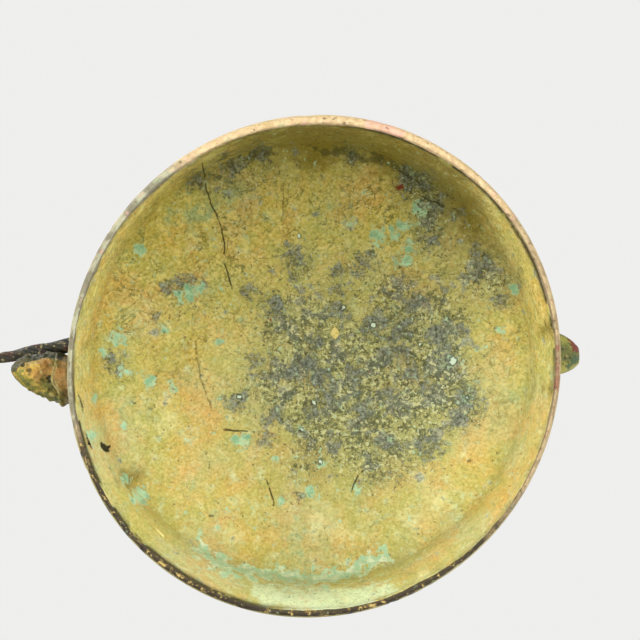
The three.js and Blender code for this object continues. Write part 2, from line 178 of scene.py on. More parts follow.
# %% Lay the floor
FLOOR_HALF = 12
FLOOR_HEIGHT = eye.z - 0.6
FLOOR_GLOW = 0.8
FLOOR_TINT = (0.95, 0.95, 0.94, 1)
floor_mesh = bpy.data.meshes.new("floor")
SQUARE = ((-1, -1), (1, -1), (1, 1), (-1, 1))
corners = [(x * FLOOR_HALF, y * FLOOR_HALF, FLOOR_HEIGHT) for x, y in SQUARE]
floor_mesh.from_pydata(corners, [], [(0, 1, 2, 3)])
floor = bpy.data.objects.new("floor", floor_mesh)
bpy.context.scene.collection.objects.link(floor)
floor_paint = bpy.data.materials.new("floor_paint")
floor_paint.use_nodes = True
nodes = floor_paint.node_tree.nodes
nodes["Principled BSDF"].inputs["Base Color"].default_value = PALE
nodes["Principled BSDF"].inputs["Roughness"].default_value = 0.9
show_pale(floor_paint.node_tree, nodes["Principled BSDF"], nodes.new("ShaderNodeEmission"),
          nodes["Material Output"], FLOOR_GLOW, FLOOR_TINT)
floor_mesh.materials.append(floor_paint)
print("floor at", round(FLOOR_HEIGHT, 3), "m")
bpy.context.scene.view_settings.view_transform = "Standard"

# %% [markdown]
# ## Surfaces from arrays
# Every new piece is a grid of points worked out by numpy. One function joins such a grid into a mesh.
# The grid's columns always run round and close on themselves. Its rows either end in a point at
# each end, or run round as well, as those of a ring do.


# %% Small helpers
def smooth(value, low, high):
    """0 below low, 1 above high, and 3t^2 - 2t^3 between, where t is the share of the way."""
    share = np.clip((value - low) / (high - low), 0, 1)
    return share * share * (3 - 2 * share)


def powered(value, power):
    """The value's sign times its size raised to a power."""
    return np.sign(value) * np.abs(value) ** power


def unit(vectors):
    """The same directions with a length of 1."""
    return vectors / np.linalg.norm(vectors, axis=-1)[..., None]


def full_turn(count):
    """Angles at equal steps over a full turn, as one row."""
    return np.linspace(0, 2 * np.pi, count, endpoint=False)[None, :]


def quadratic(start, knee, end, t):
    """(1 - t)^2 start + 2t (1 - t) knee + t^2 end: it leaves and arrives along the lines to the knee."""
    return (1 - t) ** 2 * np.array(start) + 2 * t * (1 - t) * np.array(knee) + t * t * np.array(end)


def through(keys, count):
    """A smooth curve through keys at equal steps: between two keys it is a cubic that leaves each of
    them along the line between that key's neighbours."""
    keys = np.asarray(keys, float)
    padded = np.vstack((2 * keys[0] - keys[1], keys, 2 * keys[-1] - keys[-2]))
    t = np.linspace(0, len(keys) - 1, count)
    i = np.minimum(t.astype(int), len(keys) - 2)
    f = (t - i)[:, None]
    a, b, c, d = (padded[i + k] for k in range(4))
    return (2 * b + (c - a) * f + (2 * a - 5 * b + 4 * c - d) * f ** 2
            + (3 * b - a - 3 * c + d) * f ** 3) / 2


print("smooth at a quarter of the way", smooth(0.25, 0, 1))


# %% Turn a grid of points into a mesh
def skin(name, rows, loop=False):
    """A closed mesh over a grid of shape (rows, columns, 3), or over several such grids. Neighbouring
    rows are joined by four-sided faces. With loop the last row joins the first, otherwise a fan
    closes each end. The sum of a . (b x c) over the faces tells which way they look."""
    grids = rows if rows.ndim == 4 else rows[None]
    number, count, columns = grids.shape[:3]
    spans = count if loop else count - 1
    start = (np.arange(spans) * columns)[:, None]
    after = ((np.arange(spans) + 1) % count * columns)[:, None]
    here = np.arange(columns)
    beside = np.roll(here, -1)
    quads = np.stack((start + here, start + beside, after + beside, after + here), -1).reshape(-1, 4)
    points = grids.reshape(number, -1, 3)
    fans = np.empty((0, 3), int)
    if not loop:
        ends = np.stack((grids[:, 0].mean(1), grids[:, -1].mean(1)), 1)
        points = np.concatenate((points, ends), 1)
        tip = count * columns
        fans = np.vstack((np.stack((beside, here, np.full(columns, tip)), -1),
                          np.stack((tip - columns + here, tip - columns + beside,
                                    np.full(columns, tip + 1)), -1)))
    corner = np.vstack((quads[:, :3], quads[:, [0, 2, 3]], fans))
    a, b, c = (points[0] - points[0].mean(0))[corner].transpose(1, 0, 2)
    turn = 1 if np.einsum("ij,ij->", a, np.cross(b, c)) > 0 else -1
    shift = (np.arange(number) * points.shape[1])[:, None, None]
    faces = (quads[:, ::turn] + shift).reshape(-1, 4).tolist()
    faces += (fans[:, ::turn] + shift).reshape(-1, 3).tolist()
    mesh = bpy.data.meshes.new(name)
    mesh.from_pydata(points.reshape(-1, 3).tolist(), [], faces)
    mesh.polygons.foreach_set("use_smooth", np.ones(len(faces), bool))
    return mesh


# %% Store numbers on a mesh and put it into the scene
def paint_on(mesh, **masks):
    """Stores one number of each mask for each point of a mesh, which a material can read by its
    name. The middle of each end takes the mean of the row beside it."""
    for name, values in masks.items():
        grids = values if values.ndim == 3 else values[None]
        flat = grids.reshape(len(grids), -1)
        if flat.size < len(mesh.vertices):
            flat = np.column_stack((flat, grids[:, 0].mean(1), grids[:, -1].mean(1)))
        mesh.attributes.new(name, "FLOAT", "POINT").data.foreach_set("value", flat.ravel())


def dress(mesh, finishes, body, slot, *nodes):
    """Puts a mesh into the scene with its finishes, riding on a body and standing for CAD nodes."""
    piece = bpy.data.objects.new(mesh.name, mesh)
    bpy.context.scene.collection.objects.link(piece)
    for finish in finishes:
        mesh.materials.append(finish.material)
    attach(piece, body)
    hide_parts(*nodes)
    print(mesh.name, len(mesh.polygons), "faces")
    return piece


# %% Make a surface uneven
WAVES = 26


def ripple(points, wavelength, seed):
    """A smooth random field of about -1 to 1: a sum of sine waves of random directions and starts,
    with lengths near the wavelength."""
    chance = np.random.default_rng(seed)
    ways = unit(chance.normal(size=(WAVES, 3)))
    lengths = wavelength * chance.uniform(0.7, 1.6, WAVES)
    starts = chance.uniform(0, 2 * np.pi, WAVES)
    total = np.zeros(points.shape[:-1])
    for way, length, start in zip(ways, lengths, starts):
        total += np.sin(points @ way * (2 * np.pi / length) + start)
    return total / np.sqrt(WAVES)


print("ripple at the origin", ripple(np.zeros((1, 3)), 1, 1).round(2))

# %% [markdown]
# ## Shader maths as Python
# A patina is layers of colour that lie over each other by masks. Written as nodes it would be
# hundreds of links, so a small class wraps a node's output and gives it Python's operators. Each
# operator adds the Math node that does it. Any other node comes from one method.


# %% A socket with operators
class Socket:
    """One output of a shader node. Adding, multiplying and so on add a Math node."""

    def __init__(self, finish, output):
        self.finish = finish
        self.output = output

    def math(self, operation, *others):
        return self.finish.node("ShaderNodeMath", {"operation": operation}, [self, *others])

    def __add__(self, other):
        return self.math("ADD", other)

    def __sub__(self, other):
        return self.math("SUBTRACT", other)

    def __rsub__(self, other):
        return self.finish.node("ShaderNodeMath", {"operation": "SUBTRACT"}, [other, self])

    def __mul__(self, other):
        return self.math("MULTIPLY", other)

    __radd__ = __add__
    __rmul__ = __mul__

    def step(self, low, high):
        """0 below low and 1 above high, with a smooth rise between."""
        names = ("Value", "From Min", "From Max")
        return self.finish.node("ShaderNodeMapRange", {"interpolation_type": "SMOOTHSTEP"},
                                dict(zip(names, (self, low, high))))


def colour(red, green, blue):
    """A colour written as it shows on a screen, from 0 to 255, as the linear values that nodes use."""
    shown = np.array((red, green, blue)) / 255
    linear = np.where(shown <= 0.04045, shown / 12.92, ((shown + 0.055) / 1.055) ** 2.4)
    return (*linear.tolist(), 1.0)


print("half grey in linear light", round(colour(128, 128, 128)[0], 3))


# %% A finish that collects nodes and coats
class Finish:
    """A material whose nodes are added by name. Its tone is the colour so far, under later coats."""

    def __init__(self, name, upright=1.0):
        """An upright share below 1 draws the noise out along the height, like the runs down a wall."""
        self.material = bpy.data.materials.new(name)
        self.material.use_nodes = True
        self.tree = self.material.node_tree
        self.shader = self.tree.nodes["Principled BSDF"]
        self.place = self.node("ShaderNodeTexCoord", output="Object")
        if upright != 1:
            self.place = self.node("ShaderNodeVectorMath", {"operation": "MULTIPLY"},
                                   {0: self.place, 1: (1, 1, upright)})

    def connect(self, value, target):
        if isinstance(value, Socket):
            self.tree.links.new(value.output, target)
        else:
            target.default_value = value

    def node(self, kind, settings=None, inputs=(), output=0):
        """Adds a node: first its settings, then the values or links of its sockets."""
        node = self.tree.nodes.new(kind)
        for name, value in (settings or {}).items():
            setattr(node, name, value)
        named = inputs.items() if isinstance(inputs, dict) else enumerate(inputs)
        for name, value in named:
            self.connect(value, node.inputs[name])
        return Socket(self, node.outputs[output])

    def noise(self, size, detail=4.0, rough=0.6, warp=0.0):
        """Cloudy noise whose lumps are about the given size in metres. It is stretched so that it
        spreads evenly over 0 to 1, so a cut at 0.7 leaves about three tenths."""
        cloud = self.node("ShaderNodeTexNoise", {}, {
            "Vector": self.place, "Scale": 0.55 / size, "Detail": detail, "Roughness": rough,
            "Distortion": warp})
        return (cloud - 0.34) * 3.1

    def mask(self, name):
        """The number that the mesh stores under a name."""
        return self.node("ShaderNodeAttribute", {"attribute_name": name}, output="Fac")

    def blend(self, share, below, above):
        """The colour above over the colour below, as much as the share says. A colour is a socket,
        or red, green and blue from 0 to 255."""
        below, above = (colour(*tone) if isinstance(tone, tuple) else tone for tone in (below, above))
        return self.node("ShaderNodeMix", {"data_type": "RGBA"}, {0: share, 6: below, 7: above}, 2)

    def coat(self, *layers):
        """Lays layers over the tone in turn, each a share and a colour, and shows what comes out."""
        for share, above in layers:
            self.tone = self.blend(share, self.tone, above)
        return self.surface(Base_Color=self.tone)

    def ragged(self, share, size, amount=1.0, sharp=0.2):
        """A soft mask, or the name of one, made ragged: noise is added before it is cut at one half."""
        share = self.mask(share) if isinstance(share, str) else share
        edge = share + (self.noise(size, 5.0, 0.65) - 0.5) * amount
        return edge.step(0.5 - sharp, 0.5 + sharp)

    def relief(self, height, depth):
        """The surface normal tilted by a height field of the given depth in metres."""
        return self.node("ShaderNodeBump", {}, {"Height": height, "Distance": depth, "Strength": 1.0})

    def surface(self, **values):
        """Sets the shader's sockets: Base_Color becomes Base Color, and so on."""
        for name, value in values.items():
            self.connect(value, self.shader.inputs[name.replace("_", " ")])
        return self


# %% [markdown]
# ## Where the inside is stained, and where light and shade are painted on it
# The inside of the bell carries the photo's main detail. Its stains were found in the picture, so
# they are written as places in the picture: x and y in pixels, a radius and, for the wide ones, a
# strength. A crack or a line of stains is a chain of places. They are laid on the real surface by
# working out where each point of it falls in the picture. Each list becomes one soft mask, which the
# patina then breaks up with noise.

# %% Stains and painted light and shade, as named places in the picture
VERDIGRIS = [
    (190, 294, 8), (199, 289, 6), (181, 297, 6), (381, 237, 8), (393, 233, 6), (350, 223, 5),
    (403, 226, 6), (405, 261, 7), (409, 248, 6), (419, 210, 7), (139, 250, 6), (117, 338, 7),
    (150, 381, 6), (175, 389, 6), (96, 398, 4), (92, 436, 5), (123, 424, 4), (239, 442, 7),
    (301, 430, 4), (276, 458, 4), (320, 462, 5), (356, 487, 5), (454, 362, 5), (468, 398, 5),
    (140, 496, 8), (126, 478, 5), (104, 352, 4), (124, 372, 5), (220, 340, 4), (163, 330, 4),
    (515, 290, 5), (500, 330, 4), (310, 490, 5), (280, 500, 4)]
GREY_SPOTS = [
    (295, 255, 12), (337, 270, 7), (337, 290, 7), (365, 262, 10), (247, 290, 7), (292, 277, 5),
    (415, 300, 9), (402, 327, 12), (397, 353, 13), (237, 402, 11), (168, 288, 8), (178, 283, 8),
    (191, 281, 7), (203, 285, 5), (155, 316, 5), (112, 360, 10), (122, 372, 7), (452, 361, 7),
    (467, 397, 12), (425, 182, 11), (440, 200, 9), (458, 214, 8), (354, 158, 8), (196, 180, 9),
    (234, 165, 12), (260, 154, 10), (404, 185, 7), (432, 238, 8), (475, 250, 7), (340, 310, 9),
    (374, 325, 11), (437, 337, 11), (390, 392, 8), (361, 407, 9), (427, 387, 7), (255, 361, 8),
    (273, 415, 9), (308, 362, 8), (412, 372, 9), (485, 262, 7), (500, 300, 8), (462, 330, 6),
    (313, 410, 8), (338, 445, 7), (265, 440, 8), (460, 420, 10), (432, 445, 12), (405, 172, 7),
    (300, 495, 5), (330, 395, 9), (292, 372, 8), (385, 445, 8), (318, 340, 6), (275, 305, 9),
    (355, 372, 9), (320, 378, 10)]
GREY_FIELD = [
    (372, 398, 56, 0.95), (325, 425, 44, 0.7), (425, 400, 44, 0.75), (298, 380, 36, 0.65),
    (345, 350, 38, 0.6), (296, 262, 20, 0.8), (350, 265, 26, 0.55), (392, 290, 34, 0.6),
    (412, 335, 38, 0.7), (442, 362, 34, 0.6), (455, 300, 34, 0.55), (430, 238, 24, 0.65),
    (428, 200, 26, 0.8), (410, 178, 16, 0.7), (402, 450, 38, 0.6), (270, 335, 28, 0.35),
    (260, 392, 26, 0.6), (250, 292, 20, 0.45), (482, 262, 28, 0.55), (500, 288, 22, 0.55),
    (470, 405, 24, 0.6), (245, 180, 30, 0.45), (212, 178, 20, 0.4), (285, 162, 24, 0.4),
    (355, 160, 20, 0.5), (185, 294, 24, 0.45), (115, 362, 15, 0.75), (320, 302, 28, 0.5),
    (300, 330, 26, 0.5), (310, 385, 30, 0.7), (278, 308, 20, 0.5), (368, 482, 28, 0.35),
    (300, 472, 28, 0.4), (150, 385, 14, 0.3), (330, 205, 24, 0.35)]
# Olive patches, and a darker olive along the top of the inside that is painted shade.
OLIVE_AND_TOP_SHADE = [
    (300, 138, 30, 0.9), (352, 140, 30, 0.9), (400, 156, 28, 0.9), (250, 148, 28, 0.8),
    (432, 186, 34, 0.8), (470, 232, 34, 0.7), (200, 178, 24, 0.6), (500, 285, 24, 0.5),
    (318, 165, 22, 0.4), (325, 258, 24, 0.2), (130, 478, 13, 0.9), (460, 195, 22, 0.5),
    (545, 330, 10, 0.6), (548, 390, 12, 0.6), (85, 345, 7, 0.4), (170, 345, 36, 0.3),
    (505, 405, 34, 0.28), (175, 400, 26, 0.15)]
ORANGE = [
    (101, 320, 13, 0.9), (98, 365, 13, 0.9), (100, 410, 12, 0.8), (107, 285, 13, 0.8),
    (268, 195, 16, 0.6), (531, 250, 13, 1), (535, 278, 12, 1), (538, 305, 12, 1), (205, 420, 28, 0.5),
    (190, 350, 22, 0.4), (250, 548, 18, 0.5), (225, 480, 22, 0.45), (430, 540, 24, 0.5),
    (180, 450, 18, 0.4), (165, 240, 20, 0.4), (480, 455, 28, 0.45), (350, 540, 22, 0.4),
    (530, 420, 20, 0.6), (500, 505, 22, 0.6), (240, 300, 18, 0.4), (91, 300, 13, 0.8),
    (89, 340, 13, 0.8), (88, 385, 12, 0.8), (97, 260, 12, 0.7), (150, 205, 16, 0.6),
    (128, 240, 14, 0.7), (176, 172, 14, 0.5), (507, 222, 13, 0.6), (152, 235, 16, 0.4)]
# Pale patches: some are pale crust, some painted highlights where the crown and the lower inside face the
# light.
PALE_AND_HIGHLIGHT_PATCHES = [
    (330, 520, 42, 0.5), (420, 500, 38, 0.45), (240, 520, 34, 0.4), (160, 420, 30, 0.4),
    (380, 272, 14, 0.6), (455, 333, 12, 0.6), (425, 580, 13, 0.7), (180, 500, 22, 0.4),
    (140, 320, 18, 0.4), (139, 495, 8, 0.8), (370, 250, 10, 0.6), (470, 300, 14, 0.4)]
# A pale green band on the bottom wall: chalky bloom, and painted light where that wall faces the light.
BLOOM_AND_PAINTED_LIGHT = [
    (340, 600, 12, 1), (325, 601, 12, 1), (308, 601, 12, 1), (290, 599, 12, 1), (272, 595, 11, 1),
    (356, 598, 12, 1), (372, 594, 11, 1), (256, 590, 10, 0.8), (388, 589, 9, 0.8)]
LIP_ROSE = [
    (370, 124, 6, 1), (380, 126, 7, 1), (390, 130, 7, 1), (399, 135, 6, 0.9), (303, 120, 6, 0.5),
    (555, 378, 7, 0.9), (553, 388, 7, 0.9), (557, 362, 6, 0.7), (558, 345, 6, 0.5)]
# A dark band along the top corner between the wall and the dome.
DARK_BAND = [
    [(318, 152), (340, 151), (358, 154), (376, 158), (395, 167), (412, 175), (428, 185)], [(250, 157),
    (262, 153), (270, 153)], [(226, 158), (238, 166)]]
FLECKS = [
    (343, 308, 2.6), (373, 325, 2.6), (314, 403, 2.4), (239, 397, 2.4), (468, 398, 2.6),
    (320, 462, 2.2), (301, 430, 2.2), (453, 361, 3.6), (299, 236, 2), (420, 345, 2)]
RED_SPOTS = [(400, 188, 3), (397, 180, 2.2), (404, 196, 2)]
# Pits, painted near black as the shade of their depth.
PIT = [(103, 446, 2.4), (107, 450, 2.2), (105, 448, 2.4), (109, 447, 1.6), (101, 443, 1.3),
    (82, 402, 1.5), (83, 406, 1.5), (88, 440, 1.5), (89, 444, 1.4)]
VERDIGRIS_LINE = [
    [(200, 548), (213, 560), (229, 568), (248, 571), (268, 574), (300, 577), (330, 577), (350, 571),
    (366, 563), (385, 556)]]
HAZE = [
    (200, 212, 10, 0.9), (188, 217, 9, 0.6), (228, 198, 8, 0.8), (237, 190, 9, 0.8), (212, 206, 8, 0.7),
    (172, 214, 8, 0.5), (270, 214, 8, 0.6), (330, 225, 12, 0.4), (240, 320, 10, 0.4),
    (445, 345, 8, 0.8), (120, 400, 10, 0.4), (300, 545, 14, 0.4), (355, 300, 8, 0.4),
    (510, 395, 10, 0.4)]
CRACKS = [
    [(203, 167), (206, 188), (211, 205), (217, 215), (222, 230), (224, 243), (225, 262), (230, 283)],
    [(268, 484), (273, 500)], [(401, 172), (417, 182)], [(362, 472), (356, 479), (353, 488)],
    [(424, 197), (440, 205)], [(463, 262), (466, 270)], [(228, 430), (250, 432)], [(80, 398),
    (82, 407)], [(87, 437), (90, 445)]]
FAINT_CRACKS = [
    [(196, 347), (200, 377), (210, 405)], [(281, 180), (284, 198), (282, 215)], [(236, 169),
    (244, 178)]]


def soft_spots(place, spots):
    """For each point, the largest of 1 - d / 2r over all spots, so that it is one half at the
    distance r from a spot's middle."""
    across, down = place
    value = np.zeros(across.shape)
    for x, y, radius in spots:
        value = np.maximum(value, 1 - np.hypot(across - x, down - y) / (2 * radius))
    return value


def piled_spots(place, spots):
    """The sum of bell curves about the spots, each times its strength, but not over 1."""
    across, down = place
    value = np.zeros(across.shape)
    for x, y, radius, strength in spots:
        value += strength * np.exp(-((across - x) ** 2 + (down - y) ** 2) / (radius * radius))
    return np.minimum(value, 1)


def line_offset(place, lines):
    """The signed distance aside from the nearest straight stretch of the broken lines, and the plain
    distance from it. With q the way from its start, u its direction and t the nearest point's place
    along it, they are the cross product of u and q, and the length of q - t u."""
    across, down = place
    aside, nearest = np.zeros(across.shape), np.full(across.shape, 1e3)
    for line in lines:
        for (x, y), (x_end, y_end) in zip(line, line[1:]):
            length = np.hypot(x_end - x, y_end - y)
            u, v = (x_end - x) / length, (y_end - y) / length
            t = np.clip((across - x) * u + (down - y) * v, 0, length)
            away = np.hypot(across - x - t * u, down - y - t * v)
            signed = u * (down - y) - v * (across - x)
            aside = np.where(away < nearest, signed, aside)
            nearest = np.minimum(away, nearest)
    return aside, nearest


print(len(VERDIGRIS), "crusts,", len(GREY_SPOTS), "grey spots,", len(CRACKS), "cracks")


# %% [markdown]
# ## The casting
# The bell's wall is a surface of revolution: a profile of radius and height, carried round the axis.
# The profile starts under the middle of the crown, runs down the inside, round the lip and up the
# outside. The mouth is a little out of round, as the photo shows, and the metal is slightly uneven.

# %% The casting's sizes
MOUTH_RADIUS = 125 * MM
OVALITY = 0.0156
OVAL_AXIS = np.radians(-60)
OVAL_FADE = 110 * MM
LIP_WIDTH, LIP_FLAT, LIP_EDGE = 4.4 * MM, 2 * MM, 0.6 * MM
LIP_BEVEL, LIP_BAND, LIP_STEP = 4.5 * MM, 12 * MM, 1.5 * MM
SKIRT_RADIUS = MOUTH_RADIUS - 2 * MM
WALL, CROWN_WALL = 5 * MM, 5.5 * MM
SKIRT_HEIGHT, CORNER_WIDTH = 158 * MM, 15 * MM
INNER_CORNER_WIDER, INNER_CORNER_LOWER = 4 * MM, 5 * MM
DOME_RADIUS, DOME_TOP = 183 * MM, 212 * MM
DISC_RADIUS, DISC_RISE = 41 * MM, 1.5 * MM
RIDGES = np.array([22, 52, 128, 152]) * MM
RIDGE_HALF, RIDGE_PROUD, BULGE = 1.6 * MM, 1.3 * MM, 1 * MM
COLUMNS = 512


def skirt_radius(height):
    """The skirt's radius: a slight bulge, a half sine wave, plus a parabola at each cord line."""
    along = np.clip((height - LIP_BAND) / (SKIRT_HEIGHT - LIP_BAND), 0, 1)
    cords = 1 - ((np.asarray(height)[..., None] - RIDGES) / RIDGE_HALF) ** 2
    return SKIRT_RADIUS + BULGE * np.sin(np.pi * along) + RIDGE_PROUD * np.clip(cords, 0, 1).max(-1)


def dome_height(radius, sphere):
    """Height of a sphere whose middle lies on the axis, DOME_RADIUS below the dome's top."""
    return DOME_TOP - DOME_RADIUS + np.sqrt(sphere ** 2 - radius ** 2)


def dome_rows(radii, sphere):
    """Radius and height of a sphere at each of the radii."""
    return np.column_stack((radii, dome_height(radii, sphere)))


def arc(start, knee, end, count):
    """Points of a curve from start to end that leaves and arrives along the lines to the knee."""
    return quadratic(start, knee, end, np.linspace(0, 1, count)[:, None])


def crown_corner(sphere, wall_radius, width, wall_top, count):
    """The round between the dome and the upright wall. Its knee is where their lines meet."""
    meet = wall_radius - width
    height = dome_height(meet, sphere)
    slope = -meet / (height - (DOME_TOP - DOME_RADIUS))
    return arc((meet, height), (wall_radius, height + slope * width), (wall_radius, wall_top), count)


print("skirt radius half way up", round(float(skirt_radius(SKIRT_HEIGHT / 2)), 4))

# %% The casting's profile
inner_sphere = DOME_RADIUS - CROWN_WALL
inner_wall = SKIRT_RADIUS - WALL
inner_top = SKIRT_HEIGHT - CROWN_WALL - INNER_CORNER_LOWER
inner_mouth = MOUTH_RADIUS - LIP_WIDTH
inner_width = CORNER_WIDTH + INNER_CORNER_WIDER
corner_in = crown_corner(inner_sphere, inner_wall, inner_width, inner_top, 14)
inside_profile = np.vstack((
    dome_rows(np.linspace(1 * MM, inner_wall - inner_width, 78), inner_sphere), corner_in[1:],
    np.linspace((inner_wall, inner_top), (inner_mouth, LIP_EDGE), 22)[1:]))

flat_end = inner_mouth + LIP_EDGE + LIP_FLAT
lip_flat = np.array([(inner_mouth + LIP_EDGE * 0.3, LIP_EDGE * 0.3), (inner_mouth + LIP_EDGE, 0),
                     (flat_end, 0)])
lip_bevel = arc((flat_end, 0), (MOUTH_RADIUS - LIP_EDGE, LIP_EDGE), (MOUTH_RADIUS, LIP_BEVEL), 7)[1:]
lip_band = np.linspace((MOUTH_RADIUS, LIP_BEVEL), (MOUTH_RADIUS, LIP_BAND), 6)[1:]
lip_profile = np.vstack((lip_flat, lip_bevel, lip_band))

even = np.linspace(LIP_BAND + LIP_STEP, SKIRT_HEIGHT, 14)
cords = (RIDGES[:, None] + RIDGE_HALF * np.linspace(-1, 1, 6)).ravel()
clear = even[np.abs(even[:, None] - RIDGES).min(1) > 1.3 * RIDGE_HALF]
skirt = np.sort(np.concatenate((clear, cords)))
corner_out = crown_corner(DOME_RADIUS, SKIRT_RADIUS, CORNER_WIDTH, SKIRT_HEIGHT, 8)[::-1]
dome_out = np.linspace(SKIRT_RADIUS - CORNER_WIDTH, DISC_RADIUS, 10)
disc_top = DOME_TOP + DISC_RISE
disc = np.array([(DISC_RADIUS - DISC_RISE * 0.4, DOME_TOP + 0.7 * DISC_RISE),
                 (DISC_RADIUS - DISC_RISE, disc_top), (30 * MM, disc_top), (10 * MM, disc_top)])
outside_profile = np.vstack((np.column_stack((skirt_radius(skirt), skirt)), corner_out[1:],
                             dome_rows(dome_out, DOME_RADIUS)[1:], disc))
profile = np.vstack((inside_profile, lip_profile, outside_profile))
print("profile rows", len(inside_profile), len(lip_profile), len(outside_profile))

# %% [markdown]
# ## Round the axis
# Each point of the profile becomes a row of points round the bell. The lip is thinner on one side, as
# in the photo. The rows are then pushed in and out by a fraction of a millimetre: a cast wall swells
# and dips, its lip is nicked, crusts stand out, and corroded spots and pits lie deeper.


# %% Carry the profile round the axis
def turned(radius, height, angle):
    """Points at a radius, height and angle round the bell. Near the mouth the radius is drawn out
    along one axis by the cosine of twice the angle, which makes an oval."""
    fade = 1 - smooth(height, 0, OVAL_FADE)
    drawn = radius * (1 + OVALITY * np.cos(2 * (angle - OVAL_AXIS)) * fade)
    return np.stack((drawn * np.cos(angle), drawn * np.sin(angle), height + MOUTH + 0 * angle), -1)


angles = full_turn(COLUMNS)
radii, levels = profile[:, :1], profile[:, 1:]
rows_in, rows_lip = len(inside_profile), len(lip_profile)
row_number = np.arange(len(profile))[:, None] + 0 * angles
is_inside = (row_number < rows_in).astype(float)
is_outside = (row_number >= rows_in + rows_lip).astype(float)
is_lip = 1 - is_inside - is_outside
picture_turn = PICTURE_TURN - angles
lip_thinning = (0.55 + 0.6 * np.cos(2 * picture_turn) - 0.7 * np.sin(picture_turn)) * MM
inner_edge = (row_number < rows_in + 2) * (1 - smooth(levels, 0, 60 * MM))
even_rows = turned(radii + lip_thinning * inner_edge, levels, angles)
print("casting", even_rows.shape[:2], "rows and columns")

# %% Push the surface in and out
place = picture_place(even_rows)
run = unit(np.gradient(profile, axis=0))
outwards = np.stack((run[:, 1:] * np.cos(angles), run[:, 1:] * np.sin(angles),
                     -run[:, :1] + 0 * angles), -1)
crust = smooth(soft_spots(place, VERDIGRIS), 0.35, 0.7) * is_inside
spots = smooth(soft_spots(place, GREY_SPOTS), 0.35, 0.65) * is_inside
pit = smooth(soft_spots(place, PIT), 0.3, 0.8) * is_inside
swell = 0.30 * ripple(even_rows, 42 * MM, 3) + 0.14 * ripple(even_rows, 10 * MM, 4)
swell += 0.07 * ripple(even_rows, 4 * MM, 5)
nicks = 0.4 * smooth(ripple(even_rows, 10 * MM, 6), 0.9, 1.6)
rise = swell * (is_inside + 0.25 * is_outside) - nicks * is_lip - 0.1 * is_lip * (1 + swell)
rise += 0.3 * crust - 0.2 * spots - 2.2 * pit
casting_rows = even_rows + rise[..., None] * MM * outwards
casting = skin("casting", casting_rows)
print("pushed by", rise.min().round(2), "to", rise.max().round(2), "mm")

# %% [markdown]
# ## The masks on the casting
# A material can't know where a stain of the photo lies, but a mesh can carry a number at each of its
# points. So every list of stains, and of painted light and shade, is stored on the casting as one
# number per point. The lip stores its turn round the mouth as a cosine and a sine, because an angle
# would jump where the turn closes.

# %% Store the masks on the casting
FAINT = 0.45
RIM_LOW, RIM_HIGH = 11 * MM, 17 * MM
place = picture_place(casting_rows)
aside, crack_near = line_offset(place, CRACKS + FAINT_CRACKS)
crack_strength = np.where(line_offset(place, FAINT_CRACKS)[1] > crack_near, 1, FAINT)
# Painted shade just inside the lip, strongest at the upper right and the lower left.
rim_shade_side = 0.3 + 0.7 * smooth(np.cos(2 * (picture_turn - np.radians(40))), -0.2, 0.5)
masks = {
    "green_line": 1 - line_offset(place, VERDIGRIS_LINE)[1] / 13,
    "dark_band": 1 - line_offset(place, DARK_BAND)[1] / 8,
    "crack_aside": aside,
    "crack_near": (1 - smooth(crack_near, 2, 7)) * crack_strength,
    "rim_shade_line": (1 - smooth(levels, RIM_LOW, RIM_HIGH)) * rim_shade_side}
for name, stains in {"verdigris": VERDIGRIS, "grey_spots": GREY_SPOTS, "flecks": FLECKS,
                     "red": RED_SPOTS, "pit": PIT}.items():
    masks[name] = soft_spots(place, stains)
for name, stains in {"grey_field": GREY_FIELD, "olive": OLIVE_AND_TOP_SHADE, "orange": ORANGE,
                     "pale": PALE_AND_HIGHLIGHT_PATCHES, "bloom_and_painted_light": BLOOM_AND_PAINTED_LIGHT, "haze": HAZE}.items():
    masks[name] = piled_spots(place, stains)
masks["rough"] = np.clip(1 - 0.75 * smooth(place[1], 250, 460) + 0.6 * masks["grey_field"], 0, 1)
paint_on(casting, **{name: values * is_inside for name, values in masks.items()})
paint_on(casting, turn_across=np.cos(picture_turn) + 0 * row_number,
         turn_up=np.sin(picture_turn) + 0 * row_number, lip_rose=piled_spots(place, LIP_ROSE),
         lip_out=smooth(radii + 0 * angles, inner_mouth, MOUTH_RADIUS))
print(len(masks), "masks on the inside")

# %% [markdown]
# ## One mesh, three finishes
# The inside, the lip and the outside are one casting, so they stay one mesh. Each of its faces says
# which of the three finishes it has. The faces come in bands between two rows, and the two fans that
# close the ends come last: the first belongs to the inside and the second to the outside.

# %% Share the faces out between three finishes
bands_inside = rows_in - 1
bands_lip = len(lip_flat) + len(lip_bevel) + 1
bands_outside = len(profile) - 1 - bands_inside - bands_lip
zones = np.repeat([0, 1, 2, 0, 2], np.array([bands_inside, bands_lip, bands_outside, 1, 1]) * COLUMNS)
casting.polygons.foreach_set("material_index", zones.astype(np.int32))
print("casting", len(casting.polygons), "faces in", bands_inside, bands_lip, bands_outside, "bands")

# %% [markdown]
# ## The inside's patina
# Old bronze is covered by layers: a golden ochre skin, olive where it is thin, chalky pale bloom,
# dark grey tin-rich spots, and turquoise crusts on top. They are laid in that order, each over the
# one below by its own mask, and each mask is broken up by noise at the size of the real grain.
# Light and shade are painted in with them: a darker olive along the top of the inside, highlights
# among the pale patches, light on the pale band of the bottom wall, and a dark line inside the lip.


